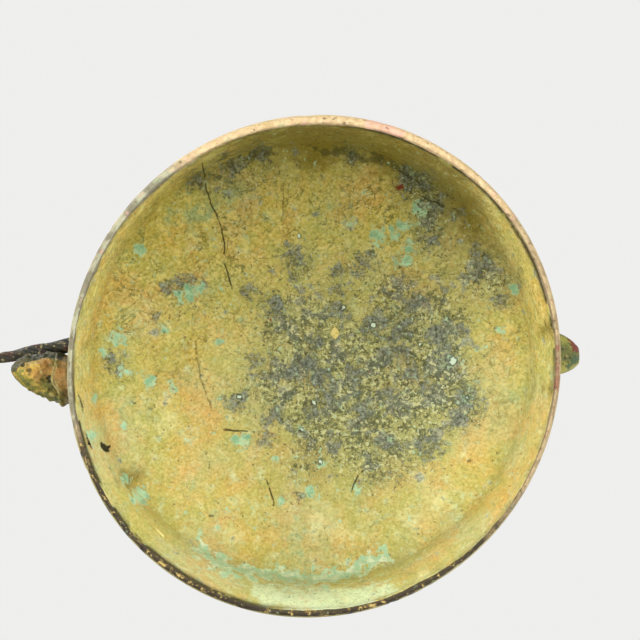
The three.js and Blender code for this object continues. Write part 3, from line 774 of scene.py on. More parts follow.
# %% The ground of ochre
def ochre_ground(finish, cloud):
    """Ochre that drifts to orange, leaf green and cream, with pale and dark grains, and pale patches that
    are partly painted highlights.
    """
    drift, grain, rough = cloud["drift"], cloud["grain"], finish.mask("rough")
    smudge = finish.noise(0.0085, 5.0, 0.62, 1.2)
    coarse = rough * 0.5 + 0.5
    finish.tone = finish.blend(cloud["wide"].step(0.2, 0.8), (184, 174, 98), (188, 186, 134))
    finish.coat(
        (finish.mask("orange") * 0.85, (218, 160, 62)),
        (rough * 0.5, (214, 196, 88)),
        (drift.step(0.5, 0.9) * 0.35, (210, 154, 76)),
        (smudge.step(0.5, 1.0) * 0.34, (214, 164, 98)),
        ((1 - drift).step(0.5, 0.9) * 0.4, (166, 168, 84)),
        ((1 - smudge).step(0.55, 0.95) * 0.4, (164, 172, 102)),
        # Pale patches, partly painted highlights.
        (finish.ragged("pale", 0.006, 0.9, 0.3) * 0.6, (230, 222, 162)),
        # Bloom on the bottom wall, partly painted light.
        (finish.ragged("bloom_and_painted_light", 0.004, 1.0, 0.4) * 0.7, (212, 234, 196)),
        (finish.ragged("haze", 0.003, 1.0, 0.35) * 0.75, (142, 172, 130)),
        (grain.step(0.5, 1.0) * coarse * 0.42, (236, 228, 170)),
        ((1 - grain).step(0.5, 1.0) * coarse * 0.48, (126, 118, 56)))


# %% Olive over the ochre, with painted shade along the top
def net(finish, size, width, warp=0.8):
    """A net of lines: where cloudy noise crosses its middle value. Wider lines cover more."""
    off = (finish.noise(size, 5.0, 0.6, warp) - 0.5).math("ABSOLUTE")
    return (width - off).step(0.0, 0.05)


def olive_and_painted_shade(finish, cloud):
    """Cream lumps with dark green veins between them on the rough part, then thin olive places, and a
    darker olive painted as shade along the top of the inside.
    """
    rough, patches = finish.mask("rough"), cloud["patches"]
    lumps = finish.noise(0.0032, 3.0, 0.5).step(0.6, 1.0)
    wide_veins = net(finish, 0.0062, 0.07) * patches.step(0.2, 0.7)
    fine_veins = net(finish, 0.0027, 0.05) * cloud["drift"].step(0.3, 0.7)
    # The olive mask brings painted shade along the top of the inside as well as olive patina.
    thin = finish.mask("olive") + (patches - 0.5) * 0.45 + (cloud["mottle"] - 0.5) * 0.35
    finish.coat(
        (lumps * rough * 0.5, (238, 224, 142)),
        (wide_veins * rough * 0.75, (88, 92, 40)),
        (fine_veins * rough * 0.6, (106, 100, 44)),
        (thin.step(0.1, 0.9) * 0.8, (118, 102, 14)))


# %% Grey stains
def grey_stains(finish, cloud):
    """A thin green-grey haze where the field mask is high. Violet-grey blotches and dark speckles grow
    denser with it: the mask is added to each noise before it is cut. The result is the blots."""
    field = finish.mask("grey_field")
    patches, mottle, grain = (cloud[name] for name in ("patches", "mottle", "grain"))
    blotches = (finish.noise(0.0060, 5.0, 0.6) + field * 0.5).step(1.0, 1.15)
    speckle = (mottle * 0.55 + grain * 0.5 + patches * 0.25 + field * 0.42).step(1.04, 1.2)
    dark_net = net(finish, 0.0034, 0.10, 1.0) * field.step(0.35, 0.8)
    grains = (finish.noise(0.0012, 3.0, 0.6) + field * 0.25).step(0.94, 1.06) * field.step(0.1, 0.4)
    blots = finish.ragged(finish.mask("grey_spots") * 0.92, 0.0024, 0.9, 0.14)
    blot_drift = (grain * 0.6 + mottle * 0.4).step(0.25, 0.8)
    finish.coat(
        (field * 0.6, (152, 158, 114)),
        (blotches * 0.6, finish.blend(grain.step(0.2, 0.8), (98, 108, 114), (156, 164, 160))),
        (speckle * 0.72, finish.blend(patches.step(0.2, 0.8), (34, 42, 24), (80, 88, 66))),
        (dark_net * 0.55, (50, 58, 38)),
        (grains * 0.75, (208, 208, 158)),
        # A dark band along the top corner between the wall and the dome.
        (finish.ragged("dark_band", 0.0030, 1.7, 0.2) * 0.6, (48, 54, 32)),
        (blots * (0.4 + mottle * 0.55), finish.blend(blot_drift, (44, 54, 48), (138, 146, 140))))
    return blots


# %% Green crusts
def green_crusts(finish, cloud):
    """Turquoise crusts with pale broken edges, and green dust in fine grains. The result is the
    crusts."""
    share, mottle = finish.mask("verdigris"), cloud["mottle"]
    crust = finish.ragged(share, 0.0024, 1.0, 0.16)
    edge = crust * (1 - finish.ragged(share - 0.12, 0.0024, 1.0, 0.16))
    green = finish.blend(mottle.step(0.2, 0.8), (126, 180, 148), (172, 216, 184))
    pale_green = finish.blend(mottle.step(0.3, 0.9), (164, 206, 172), (220, 232, 204))
    dust = finish.noise(0.0018, 4.0, 0.6, 0.4) + cloud["wide"] * 0.12 + finish.mask("grey_field") * 0.06
    finish.coat(
        (crust * 0.85, finish.blend(edge, green, (204, 222, 186))),
        (finish.ragged("green_line", 0.0034, 1.3, 0.12) * 0.85, pale_green),
        (dust.step(0.98, 1.08) * 0.5, (172, 196, 156)))
    return crust


# %% Small marks
def small_marks(finish):
    """Specks, pale flecks in dark rings, a red spot, cracks, pits painted near black as shade, and a
    painted shade line just inside the lip. The result is the specks and the cracks."""
    denser = finish.mask("grey_field") * 0.12 + finish.mask("olive") * 0.12
    specks = (finish.noise(0.0011, 2.0, 0.5) + denser).step(1.06, 1.16)
    flecks = finish.mask("flecks")
    fleck = flecks + (finish.noise(0.0012, 3.0) - 0.5) * 0.5 * flecks.step(0.1, 0.3)
    aside = finish.mask("crack_aside") + (finish.noise(0.004) - 0.5) * 2.0
    broken = finish.noise(0.0042).step(0.2, 0.42)
    crack = (1 - aside.math("ABSOLUTE").step(0.35, 1.1)) * finish.mask("crack_near") * broken
    finish.coat(
        (specks * 0.6, (58, 54, 32)),
        (fleck.step(0.2, 0.4) * 0.75, (64, 66, 52)),
        (fleck.step(0.5, 0.66) * 0.95, (208, 226, 212)),
        (finish.ragged("red", 0.002, 0.8, 0.12), (122, 50, 34)),
        (crack * 0.85, (52, 46, 26)),
        # Pits painted near black: painted shade for their depth.
        (finish.mask("pit").step(0.3, 0.5), (18, 15, 8)),
        # Painted shade: a dark line just inside the lip.
        (finish.mask("rim_shade_line") * finish.noise(0.012).step(0.1, 0.4) * 0.95, (40, 35, 20)))
    return specks, crack


# %% Lay them over each other
def inside_patina():
    """All the layers in turn. Crusts stand out, and blots, cracks and specks lie deeper. The noise is
    drawn out along the height, since the photo's view sees the wall at a grazing angle."""
    finish = Finish("inside_patina", 0.28)
    cloud = {
        "wide": finish.noise(0.026, 4.0, 0.55), "drift": finish.noise(0.014, 5.0, 0.6, 0.5),
        "patches": finish.noise(0.0065, 5.0, 0.62), "mottle": finish.noise(0.0026, 5.0, 0.65),
        "grain": finish.noise(0.0009, 3.0, 0.6)}
    ochre_ground(finish, cloud)
    olive_and_painted_shade(finish, cloud)
    blots = grey_stains(finish, cloud)
    crust = green_crusts(finish, cloud)
    specks, crack = small_marks(finish)
    high = cloud["mottle"] * 0.45 + cloud["grain"] * 0.3 + crust * 0.4
    low = blots * 0.3 + crack + specks * 0.4
    return finish.surface(
        Metallic=0.0, Specular_IOR_Level=0.3, Normal=finish.relief(high - low, 0.0007),
        Roughness=0.68 + (cloud["mottle"] - 0.5) * 0.2 + crust * 0.1)


bronze_inside = inside_patina()
print("inside patina", len(bronze_inside.tree.nodes), "nodes")

# %% [markdown]
# ## The lip's patina
# The lip's colour changes round the mouth: cream over the top and the right, bluish white at the
# left, pinkish red at the right, and dark brown with gold specks at the bottom, partly painted shade.
# A dark band along its inner edge is painted shade. The mesh stores the cosine and the sine of the
# turn round the mouth, from the photo's right over its top to its left.


# %% Paint the lip
def lip_patina():
    """Each stretch of the lip is a cut of the turn's cosine about the middle of that stretch."""
    finish = Finish("lip_patina")
    wave = (finish.noise(0.012, 3.0) - 0.5) * 0.16
    across, up, out = (finish.mask(name) for name in ("turn_across", "turn_up", "lip_out"))

    def stretch(middle, reach, soft=0.08):
        """1 within reach degrees of the middle, counted from the photo's right over its top."""
        turn, limit = np.radians(middle), float(np.cos(np.radians(reach)))
        near = across * float(np.cos(turn)) + up * float(np.sin(turn)) + wave
        return near.step(limit - soft, limit + soft)

    grain = finish.noise(0.0011, 4.0, 0.65)
    lumps = finish.noise(0.0050, 4.0, 0.6)
    chill = finish.blend(lumps.step(0.2, 0.8), (78, 82, 70), (136, 140, 118))
    worn = finish.blend(lumps.step(0.3, 0.7), (110, 94, 68), (152, 134, 100))
    red = finish.blend(up.step(0.2, 0.7), (112, 56, 44), (184, 138, 124))
    # The bottom stretch: dark brown with gold specks, partly painted shade.
    low = stretch(258, 63)
    gold = (grain * 0.65 + lumps * 0.35).step(0.58, 0.84)
    brown = finish.blend(gold, finish.blend(lumps, (20, 16, 9), (40, 32, 17)), (168, 144, 82))
    dark = (finish.noise(0.0016, 3.0) - up * 0.08).step(0.88, 1.0)
    edge = out.step(0.84, 0.96) * lumps.step(0.1, 0.4)
    # Painted shade: a dark band along the lip's inner edge.
    inner_edge_shade = (1 - out.step(0.0, 0.3)) * (0.4 + lumps * 0.5)
    finish.tone = finish.blend(grain.step(0.1, 1.0), (156, 134, 96), (184, 160, 122))
    finish.coat(
        (lumps.step(0.6, 0.95) * 0.45, (150, 128, 78)),
        (stretch(160, 38) * 0.8, chill),
        (stretch(0, 40) * 0.75, worn),
        (finish.ragged("lip_rose", 0.0022, 1.3, 0.25) * 0.65, red),
        (low * 0.96, brown),
        (finish.noise(0.0026, 3.0).step(0.9, 1.0) * 0.4, (126, 142, 104)),
        (dark * 0.6, (64, 56, 36)),
        (edge * (0.15 + low * 0.45), (196, 184, 112)),
        (inner_edge_shade * 0.8, (58, 50, 30)))
    return finish.surface(
        Metallic=0.0, Specular_IOR_Level=0.2, Roughness=0.65 + (grain - 0.5) * 0.25,
        Normal=finish.relief(grain * 0.5 + lumps - dark * 0.5, 0.0005))


bronze_lip = lip_patina()
print("lip patina", len(bronze_lip.tree.nodes), "nodes")

# %% [markdown]
# ## The outside's patina
# The outside isn't in the photo. The two lugs show how it looks: golden to olive brown, with dark
# hollows, green crust and orange earth. Raised work is worn paler and the ground beside it is dark,
# so a piece with relief stores its own height, and the patina reads that.


# %% Paint the outside and dress the casting
def outside_patina(name, gold, olive, dark, green_share, carved=True):
    """Gold on what stands out, olive over most, dark in the hollows, green and orange on top.
    green_share is about the part of the surface that is under green crust."""
    finish = Finish(name)
    clouds = finish.noise(0.026, 5.0, 0.6)
    mottle = finish.noise(0.0042, 5.0, 0.65)
    grain = finish.noise(0.0012, 3.0, 0.6)
    finish.tone = finish.blend(clouds.step(0.2, 0.8), olive, gold)
    finish.coat((mottle.step(0.5, 1.0) * 0.45, gold), ((1 - mottle).step(0.5, 0.95) * 0.55, dark))
    if carved:
        height = finish.mask("relief")
        finish.coat(((1 - height.step(0.1, 0.6)) * 0.7, dark),
                    (height.step(0.6, 1.0) * (0.35 + mottle * 0.35), gold))
    earth = finish.noise(0.008, 5.0, 0.62) * clouds.step(0.4, 0.8)
    crust = finish.noise(0.007, 6.0, 0.72, 0.5) * 0.6 + finish.noise(0.030, 3.0) * 0.4
    crust = crust.step(0.92 - green_share, 1.04 - green_share)
    finish.coat(
        (earth.step(0.6, 0.95) * 0.45, (172, 122, 64)),
        (crust * 0.7, finish.blend(grain.step(0.2, 0.8), (96, 122, 84), (146, 166, 122))),
        (finish.noise(0.0016, 2.0, 0.5).step(0.9, 1.0) * 0.6, (46, 38, 24)),
        (grain.step(0.75, 1.0) * 0.25, (206, 188, 122)))
    return finish.surface(
        Metallic=0.1, Specular_IOR_Level=0.25, Roughness=0.58 + (mottle - 0.5) * 0.25 + crust * 0.1,
        Normal=finish.relief(mottle * 0.6 + grain * 0.35 + crust * 0.4, 0.0007))


BODY_TONES = ((168, 144, 82), (116, 106, 60), (56, 52, 34))
body_patina = outside_patina("body_patina", *BODY_TONES, 0.3, carved=False)
dress(casting, [bronze_inside, bronze_lip, body_patina], "bell", "casting_bronze", "bell_body")

# %% [markdown]
# ## The plugs in the wall
# Small metal props held the core while the bell was cast, and they stayed in its wall. The photo
# shows one as a pale lozenge on the crown. Each is a short bar with the outline of a lozenge or a
# square, with rounded edges. The crown's stands a hair proud on both faces. The skirt's four do so
# outside only, and end under the patina inside, where the photo shows none.


# %% Shape a plug
def plug(name, middle, ways, halves, ends, power):
    """A bar along the last of three ways. Its outline at angle t is cos t and sin t raised to a power,
    times the half sizes. Its rows shrink near both ends, which rounds the edges."""
    t, edge = full_turn(40), 0.35 * MM
    low, high = ends
    along = np.array([low, low + 0.3 * edge, low + edge, high - edge, high - 0.3 * edge, high])[:, None]
    shrink = np.array([1.1, 0.4, 0, 0, 0.4, 1.1])[:, None] * edge
    parts = ((halves[0] - shrink) * powered(np.cos(t), power),
             (halves[1] - shrink) * powered(np.sin(t), power), along + 0 * t)
    return skin(name, np.array(middle) + sum(part[..., None] * np.array(way)
                                             for part, way in zip(parts, ways)))


chaplet_patina = Finish("chaplet_patina")
rub = chaplet_patina.noise(0.0016, 4.0, 0.6)
chaplet_patina.surface(
    Base_Color=chaplet_patina.blend(rub.step(0.6, 1.0), (222, 206, 132), (180, 156, 84)),
    Metallic=0.3, Roughness=0.5 + (rub - 0.5) * 0.3, Normal=chaplet_patina.relief(rub, 0.0005))

# %% Place the five plugs
CROWN_PLUG_AT = (14.2 * MM, -14 * MM)
CROWN_PROUD, SKIRT_PROUD, SKIRT_SUNK = 0.35 * MM, 0.15 * MM, 0.3 * MM
SKIRT_PLUG_HEIGHT = 90 * MM
UP = (0, 0, 1)
under_crown = dome_height(np.hypot(*CROWN_PLUG_AT), inner_sphere) + MOUTH
crown_ends = (-2 * CROWN_PROUD, disc_top + MOUTH - under_crown + CROWN_PROUD)
crown_plug = plug("crown_plug", (*CROWN_PLUG_AT, under_crown), ((1, 0, 0), (0, 1, 0), UP),
                  (2.5 * MM, 3.5 * MM), crown_ends, 1.5)
dress(crown_plug, [chaplet_patina], "bell", "chaplet_bronze", "crown_chaplet")

plug_radius = float(skirt_radius(SKIRT_PLUG_HEIGHT))
for number, azimuth in enumerate((45, 135, 225, 315), 1):
    turn = np.radians(azimuth)
    out, aside = (np.cos(turn), np.sin(turn), 0), (-np.sin(turn), np.cos(turn), 0)
    middle = (plug_radius * out[0], plug_radius * out[1], MOUTH + SKIRT_PLUG_HEIGHT)
    skirt_plug = plug(f"skirt_plug_{number}", middle, (aside, UP, out),
                      (4 * MM, 4 * MM), (SKIRT_SUNK - WALL, SKIRT_PROUD), 0.35)
    dress(skirt_plug, [chaplet_patina], "bell", "chaplet_bronze", f"skirt_chaplet_{number}")

# %% [markdown]
# ## The beast-head lug
# The left lug is a beast's head whose muzzle points away from the wall. It was cast with the bell or
# cast on to it. Its form is a tube of oval sections, round the line from the wall to the muzzle, and
# its eyes, brows, nostrils, lips and curls are bumps and hollows on it. Each bump is written once,
# by its distance out and its angle round the muzzle, and is mirrored to the other side.


# %% The form of a beast head
BUMPS = [
    (18, 50, 3.4, 15, 3.0), (19, 48, 1.1, 6, -1.4), (16.5, 72, 5.5, 9, 2.2), (10, 62, 4.5, 9, 1.6),
    (18, 90, 11, 7, 1.6), (27, 90, 5, 15, 1.0), (31, 60, 2.2, 15, 1.6), (32, 58, 0.9, 7, -1.6),
    (26, -3, 9, 6, 1.3), (31, -20, 8, 3.4, -2.2), (27, -36, 8, 6, 1.1), (26, -12, 1.3, 5, 1.4),
    (21.5, -12, 1.1, 4, 1.0), (12, 12, 1.9, 9, 1.3), (7, 38, 2.6, 12, 2.2), (24, -90, 7, 26, 0.9),
    (14, -50, 3, 12, 1.0), (20, -62, 3, 11, 0.9)]
CURLS = [(18, 50, 4.8, 19, 1.1), (12, 12, 5, 21, 1.1), (13, -34, 4.4, 17, 0.9), (20, -62, 4, 15, 0.7)]


def beast_head(stations, droop, lean, scale, count, columns):
    """Rows of points (out, aside, up) round a line that leans aside and droops. The section is an
    oval whose cosine and sine are raised to 0.9, pushed out by the bumps
    a exp(-((x - x0) / w)^2 - ((angle - angle0) / w_angle)^2) and by curls, whose exponent is the
    square of the distance from a ring about the middle. The second result is the push itself."""
    out, wide, high = through(stations, count).T[..., None]
    angle = full_turn(columns) * 180 / np.pi - 180
    bent = [powered(v, 0.9) for v in (np.cos(np.radians(angle)), np.sin(np.radians(angle)))]
    push = np.zeros((count, columns))
    for x, at, width, spread, amount in BUMPS + CURLS:
        for turn in {at, 180 - at}:
            off = (angle - turn + 180) % 360 - 180
            away = np.hypot((out / scale - x) / width, off / spread)
            ring = (x, at, width, spread, amount) in CURLS
            push += amount * np.exp(-((away - 1) / 0.28) ** 2 if ring else -away ** 2)
    waves = out / scale * 0.9
    scales = np.abs(np.sin(waves + angle / 9)) * np.abs(np.sin(waves - angle / 9))
    push = push * smooth(out / scale, 4, 9) + 0.35 * (scales - 0.4) * smooth(out / scale, 8, 12)
    push += 1.1 * np.exp(-((out / scale - 9.5) / 1.1) ** 2)
    size = np.hypot(bent[0] * high, bent[1] * wide)
    push = push * scale * np.clip(wide / (5 * scale), 0.15, 1)
    along = (out - out[0]) / (out[-1] - out[0])
    aside = bent[0] * wide + push * bent[0] * high / size + lean[0] + (lean[1] - lean[0]) * along
    up = bent[1] * high + push * bent[1] * wide / size - droop * along ** 2
    return np.stack((out + 0 * angle, aside, up), -1), push / scale


HEAD_HEIGHT = 93
HEAD_STATIONS = [(-3, 13.2, 23.6), (6, 12.7, 21.6), (13, 12.0, 19.4), (20, 10.3, 17), (27, 7.6, 12.6),
                 (32, 4.6, 8.2), (34.4, 2.2, 4.2), (35, 0.6, 1.2)]
head_local, head_push = beast_head(HEAD_STATIONS, 5, (5, -3.5), 1, 150, 200)
head_out, head_aside, head_up = np.moveaxis(head_local, -1, 0)
base, skirt_mm = MOUTH / MM, SKIRT_RADIUS / MM
head_rows = np.stack((-skirt_mm - head_out, head_aside, head_up + HEAD_HEIGHT + base), -1) * MM
print("head", head_rows.shape, "push", head_push.min().round(2), head_push.max().round(2))

# %% [markdown]
# ## The head's marks
# In the photo a smooth collar lies between the head and the wall, bounded by a pale crescent, and the
# muzzle has some deep pits. Like the stains inside, they are places in the picture. The collar is
# pressed flat and the pits are pushed in, and the same masks tell the finish where to lay its colours.

# %% Mark the head and make its mesh
HEAD_PITS = [(48, 379, 3.2), (46, 375, 2), (30, 370, 2.4), (23, 366, 1.8)]
HEAD_EARTH = [(36, 374, 9, 0.9), (44, 362, 7, 0.7), (48, 370, 6, 0.6), (61, 372, 8, 0.9), (60, 388, 6, 0.6)]
HEAD_MOSS = [(28, 386, 9, 0.9), (42, 396, 8, 0.9), (55, 402, 7, 0.9), (18, 374, 7, 0.7), (34, 366, 4, 0.4)]
COLLAR_EDGE = [[(58, 352), (55, 366), (52, 378), (56, 387), (62, 396), (67, 403)]]
# The head's upper edge, where the horn's painted shadow lies.
HORN_SHADOW_EDGE = [[(13, 368), (22, 360), (34, 356), (47, 353.5), (60, 354)]]
place = picture_place(head_rows)
low_side = smooth(-head_up, -4, 2)
edge_aside = line_offset(place, COLLAR_EDGE)[0]
collar = smooth(-edge_aside, -1, 1.5) * low_side
pits = soft_spots(place, HEAD_PITS) + 0.22 * ripple(head_rows, 3 * MM, 14)
pits = smooth(pits, 0.35, 0.8) * low_side
rough = 0.22 * ripple(head_rows, 3.2 * MM, 11) + 0.3 * ripple(head_rows, 7 * MM, 12)
shift = rough * (1 - collar) - 1.1 * pits - (head_push * 0.8 + 1.0) * collar
shift = shift * smooth(head_out, -3, 4) * np.clip((35 - head_out) / 6, 0, 1)
inwards = unit(np.stack((0 * head_out, head_aside - 1, head_up), -1))
head = skin("beast_head", head_rows + shift[..., None] * inwards * MM)
paint_on(head, relief=0.45 + 0.22 * (head_push + shift), collar=collar, pits=pits,
         earth=piled_spots(place, HEAD_EARTH), moss=piled_spots(place, HEAD_MOSS),
         crescent=(1 - smooth(np.abs(edge_aside), 0.6, 2.6)) * low_side,
         upper_edge=1 - smooth(line_offset(place, HORN_SHADOW_EDGE)[1], 2, 6))
print("shift", shift.min().round(2), "to", shift.max().round(2), "mm")

# %% [markdown]
# ## The head's colours
# The photo shows the head from below. It is golden with orange earth and green, its upper edge is
# dark with a blue tint, which is a painted shadow of the horn, and the collar beside the wall is a
# smooth orange brown with a pale crescent.
# These are laid over the outside's patina by the masks that were stored above.

# %% Paint the head and put it in place
head_patina = outside_patina("head_patina", (176, 146, 60), (80, 76, 25), (14, 16, 8), 0.1)
head_patina.coat(
    (head_patina.ragged("earth", 0.0018) * 0.5, (146, 98, 44)),
    (head_patina.ragged("moss", 0.0018) * 0.7, (66, 86, 28)),
    (head_patina.mask("collar") * (0.1 + head_patina.noise(0.004) * 0.45), (150, 112, 50)),
    (head_patina.ragged("crescent", 0.0024) * 0.6, (164, 152, 98)),
    # Painted shadow of the horn on the head's upper edge, dark with a blue-green tint.
    (head_patina.ragged("upper_edge", 0.002, 0.7) * 0.85, (16, 30, 24)),
    (head_patina.mask("pits") * 0.8, (26, 24, 12)))
dress(head, [head_patina], "bell", "lug_bronze", "beast_head_lug")

# %% [markdown]
# ## The twisted horn
# A horn leaves the wall beside the head and follows its upper flank, then rises past the muzzle. Its
# section has three lobes that turn on the way, with fine grooves between them, as if it were twisted
# from soft wax, which is how such a horn would be modelled for the lost-wax casting.


# %% Shape the horn
CAP_ROWS = 8
HORN_TWISTS = 2.5


def swept(route, size, count, columns, section, cap):
    """Rows round a quadratic curve from three points. The section is r(angle, t) times the size, and
    the rows at the far end shrink over a quarter circle, which rounds it."""
    start, knee, end = (np.array(point, float) for point in route)
    quarter = np.linspace(0.1, 1.5, CAP_ROWS)
    t = np.concatenate((np.linspace(0, 1, count), np.ones(CAP_ROWS)))[:, None]
    shrink = np.concatenate((np.ones(count), np.cos(quarter)))[:, None]
    past = np.concatenate((np.zeros(count), np.sin(quarter)))[:, None]
    along = unit(2 * (1 - t) * (knee - start) + 2 * t * (end - knee))
    sideways = unit(np.cross((0, 1, 0), along))
    up = np.cross(along, sideways)
    angle = full_turn(columns)
    radius = size(t) * section(angle, t) * shrink
    middle = quadratic(start, knee, end, t) + along * past * size(t) * cap
    return (middle[:, None] + (radius * np.cos(angle))[..., None] * sideways[:, None]
            + (radius * np.sin(angle))[..., None] * up[:, None]), section(angle, t)


def horn_section(angle, t):
    """1 + 0.09 (cos(3 angle - turns) - 1), less fine slanting grooves."""
    turns = 2 * np.pi * HORN_TWISTS * t
    grooves = np.abs(np.sin(4.5 * angle - 1.5 * turns - 16 * t))
    return 1 + 0.09 * (np.cos(3 * angle - turns) - 1) - 0.10 * (1 - grooves) ** 2


HORN_ROUTE = [(-skirt_mm + 3, -15.5, 97 + base), (-skirt_mm - 26, -12.5, 98 + base),
              (-skirt_mm - 49.2, -8.1, 113.6 + base)]
HORN_ROOT, HORN_TIP, HORN_CAP = 4.45, 2.7, 0.3
horn_rows, horn_relief = swept(
    HORN_ROUTE, lambda t: HORN_ROOT + (HORN_TIP - HORN_ROOT) * t, 190, 96, horn_section, HORN_CAP)
horn_rows = horn_rows - 0.06 * (1 + ripple(horn_rows, 5, 21))[..., None]
horn = skin("twisted_horn", horn_rows * MM)
paint_on(horn, relief=(horn_relief - 0.74) / 0.26)
horn_patina = outside_patina("horn_patina", (46, 40, 23), (23, 25, 13), (9, 9, 6), 0.12)
glints = (horn_patina.mask("relief") + (horn_patina.noise(0.0016) - 0.5) * 0.7).step(1.12, 1.25)
horn_patina.coat((horn_patina.noise(0.005, 4.0).step(0.62, 0.85) * 0.6, (58, 26, 14)),
                 (glints * 0.5, (170, 152, 104)))
dress(horn, [horn_patina], "bell", "horn_bronze", "beast_head_horn")

# %% [markdown]
# ## The strap lug
# The right lug is a strap bent into an upright loop for a cord. Seen from the mouth it is a rounded
# tongue, yellow green and worn, with a red patch at its tip and a dark green one under it. A shallow
# groove runs along the middle of its outer face between two rounded borders.


# %% Shape the strap
STRAP_REACH, STRAP_HALF_RISE, STRAP_MIDDLE = 17.5, 19, 92


def oval_bar(middle, away, thick, wide, angle):
    """Rows round a middle line. At angle a the surface lies thick cos a outwards and wide sin a
    across."""
    rows = middle + (thick * np.cos(angle))[..., None] * away
    rows[..., 1] += wide * np.sin(angle)
    return rows


turn = np.pi * np.linspace(0, 1, 120)[:, None]
angle = full_turn(96)
half_width = np.hypot(12 * np.cos(turn), 5.4 * np.sin(turn))
sine = np.sin(angle)
border = np.exp(-((np.abs(sine) - 0.78) / 0.14) ** 2)
groove = smooth(1 - np.abs(sine), 0.3, 0.8)
thick = 2.75 * (1 - 0.12 * groove + 0.10 * border)
away = unit(np.stack((STRAP_HALF_RISE * np.sin(turn), 0 * turn, -STRAP_REACH * np.cos(turn)), -1))
middle = np.stack((skirt_mm - WALL / MM / 2 + STRAP_REACH * np.sin(turn), 2 * np.sin(turn) ** 2,
                   STRAP_MIDDLE - STRAP_HALF_RISE * np.cos(turn) + base), -1)
strap_rows = oval_bar(middle, away, thick, half_width * 0.98, angle)
strap_rows -= 0.1 * np.maximum(0, ripple(strap_rows, 5, 31))[..., None] * away
strap = skin("strap_loop", strap_rows * MM)
print("strap", strap_rows.shape[:2], "rows and columns")

# %% Paint the strap and put it in place
STRAP_RED = [(574, 344, 4, 1), (577, 350, 4, 0.9), (569, 339, 3, 0.6)]
STRAP_GREEN = [(574, 361, 4, 1), (568, 367, 4, 0.8), (577, 357, 3, 0.5)]
STRAP_DOTS = [(565, 358, 1.1), (570, 358, 1), (563, 364, 0.9), (568, 362, 0.8)]
place = picture_place(strap_rows * MM)
paint_on(strap, relief=0.6 + 0.5 * border - 0.3 * groove + 0 * turn, red=piled_spots(place, STRAP_RED),
         green=piled_spots(place, STRAP_GREEN), dots=soft_spots(place, STRAP_DOTS))
strap_patina = outside_patina("strap_patina", (136, 130, 60), (90, 94, 38), (34, 38, 18), 0.2)
strap_patina.coat((strap_patina.ragged("red", 0.002, 0.6, 0.12) * 0.9, (92, 28, 14)),
                  (strap_patina.ragged("green", 0.002, 0.6, 0.12) * 0.8, (38, 66, 44)),
                  (strap_patina.mask("dots").step(0.35, 0.6), (26, 26, 14)))
dress(strap, [strap_patina], "bell", "strap_bronze", "strap_lug")

# %% [markdown]
# ## The crown loop
# A bell of this kind hangs by a loop cast on its crown. Here it is a dragon with a head at each end,
# whose arched back is the bar that the ring goes under. Scales cover the back, except where the
# ring has worn it smooth. The heads reuse the lug's beast head at a smaller size.

# %% Shape the arch
SCALE_ROWS = 44
ARCH_HALF_SPAN, ARCH_RISE, SUNK = 31, 30, 0.05
END_THICKNESS, MIDDLE_THICKNESS = 9, 6
t = np.linspace(-0.02, 1.02, 220)[:, None]
angle = full_turn(88)
turn = np.pi * t
crown_mm = disc_top / MM + base
thickness = END_THICKNESS + (MIDDLE_THICKNESS - END_THICKNESS) * np.clip(1.5 * np.sin(turn), 0, 1)
away = unit(np.stack((-ARCH_RISE * np.cos(turn), 0 * turn, ARCH_HALF_SPAN * np.sin(turn)), -1))
rows_of_scales = np.pi * t * SCALE_ROWS
shell = np.abs(np.sin(rows_of_scales / 2 + 4 * angle) * np.sin(rows_of_scales / 2 - 4 * angle))
off_spine = (angle + np.pi) % (2 * np.pi) - np.pi
spine = np.exp(-(off_spine / 0.28) ** 2) * (0.6 + 0.4 * np.cos(rows_of_scales))
unworn = smooth(np.abs(t - 0.5), 0.10, 0.2)
lift = (0.5 * (shell - 0.5) + 0.8 * spine) * unworn
radius = thickness - SUNK + lift
middle = np.stack((-ARCH_HALF_SPAN * np.cos(turn), 0 * turn, crown_mm + ARCH_RISE * np.sin(turn)), -1)
arch = skin("dragon_arch", oval_bar(middle, away, radius, radius, angle) * MM)
paint_on(arch, relief=0.45 + 0.6 * lift + 0.25 * (1 - unworn))
loop_patina = outside_patina("loop_patina", (150, 132, 76), (92, 92, 52), (40, 40, 26), 0.4)
dress(arch, [loop_patina], "bell", "loop_bronze", "crown_loop")

# %% Set a head at each end of the arch
DRAGON_STATIONS = [(-1, 6.4, 6.6), (6, 8, 7.8), (13, 7.6, 7.2), (19, 6, 5.8), (25, 5.2, 4.8),
                   (28, 3.4, 3.2), (28.9, 1.4, 1.4), (29.1, 0.4, 0.4)]
DRAGON_OUT, DRAGON_UP, DRAGON_SUNK = 25.5, 8.8, 0.6
dragon_local, dragon_push = beast_head(DRAGON_STATIONS, 3.5, (0, 0), 0.8, 110, 130)
out, aside, up = np.moveaxis(dragon_local, -1, 0)
up = np.maximum(crown_mm + DRAGON_UP + up, crown_mm - DRAGON_SUNK)
for side, name in ((-1, "dragon_head_left"), (1, "dragon_head_right")):
    dragon = skin(name, np.stack((side * (DRAGON_OUT + out), side * aside, up), -1) * MM)
    paint_on(dragon, relief=0.5 + 0.35 * dragon_push)
    dress(dragon, [loop_patina], "bell", "loop_bronze", "crown_loop")

# %% [markdown]
# ## The suspension ring
# The ring is a forged round bar, bent and closed, dark brown, and polished where the bell's bar and
# the hook rub on it. It is a torus with the faint flats of the hammer.

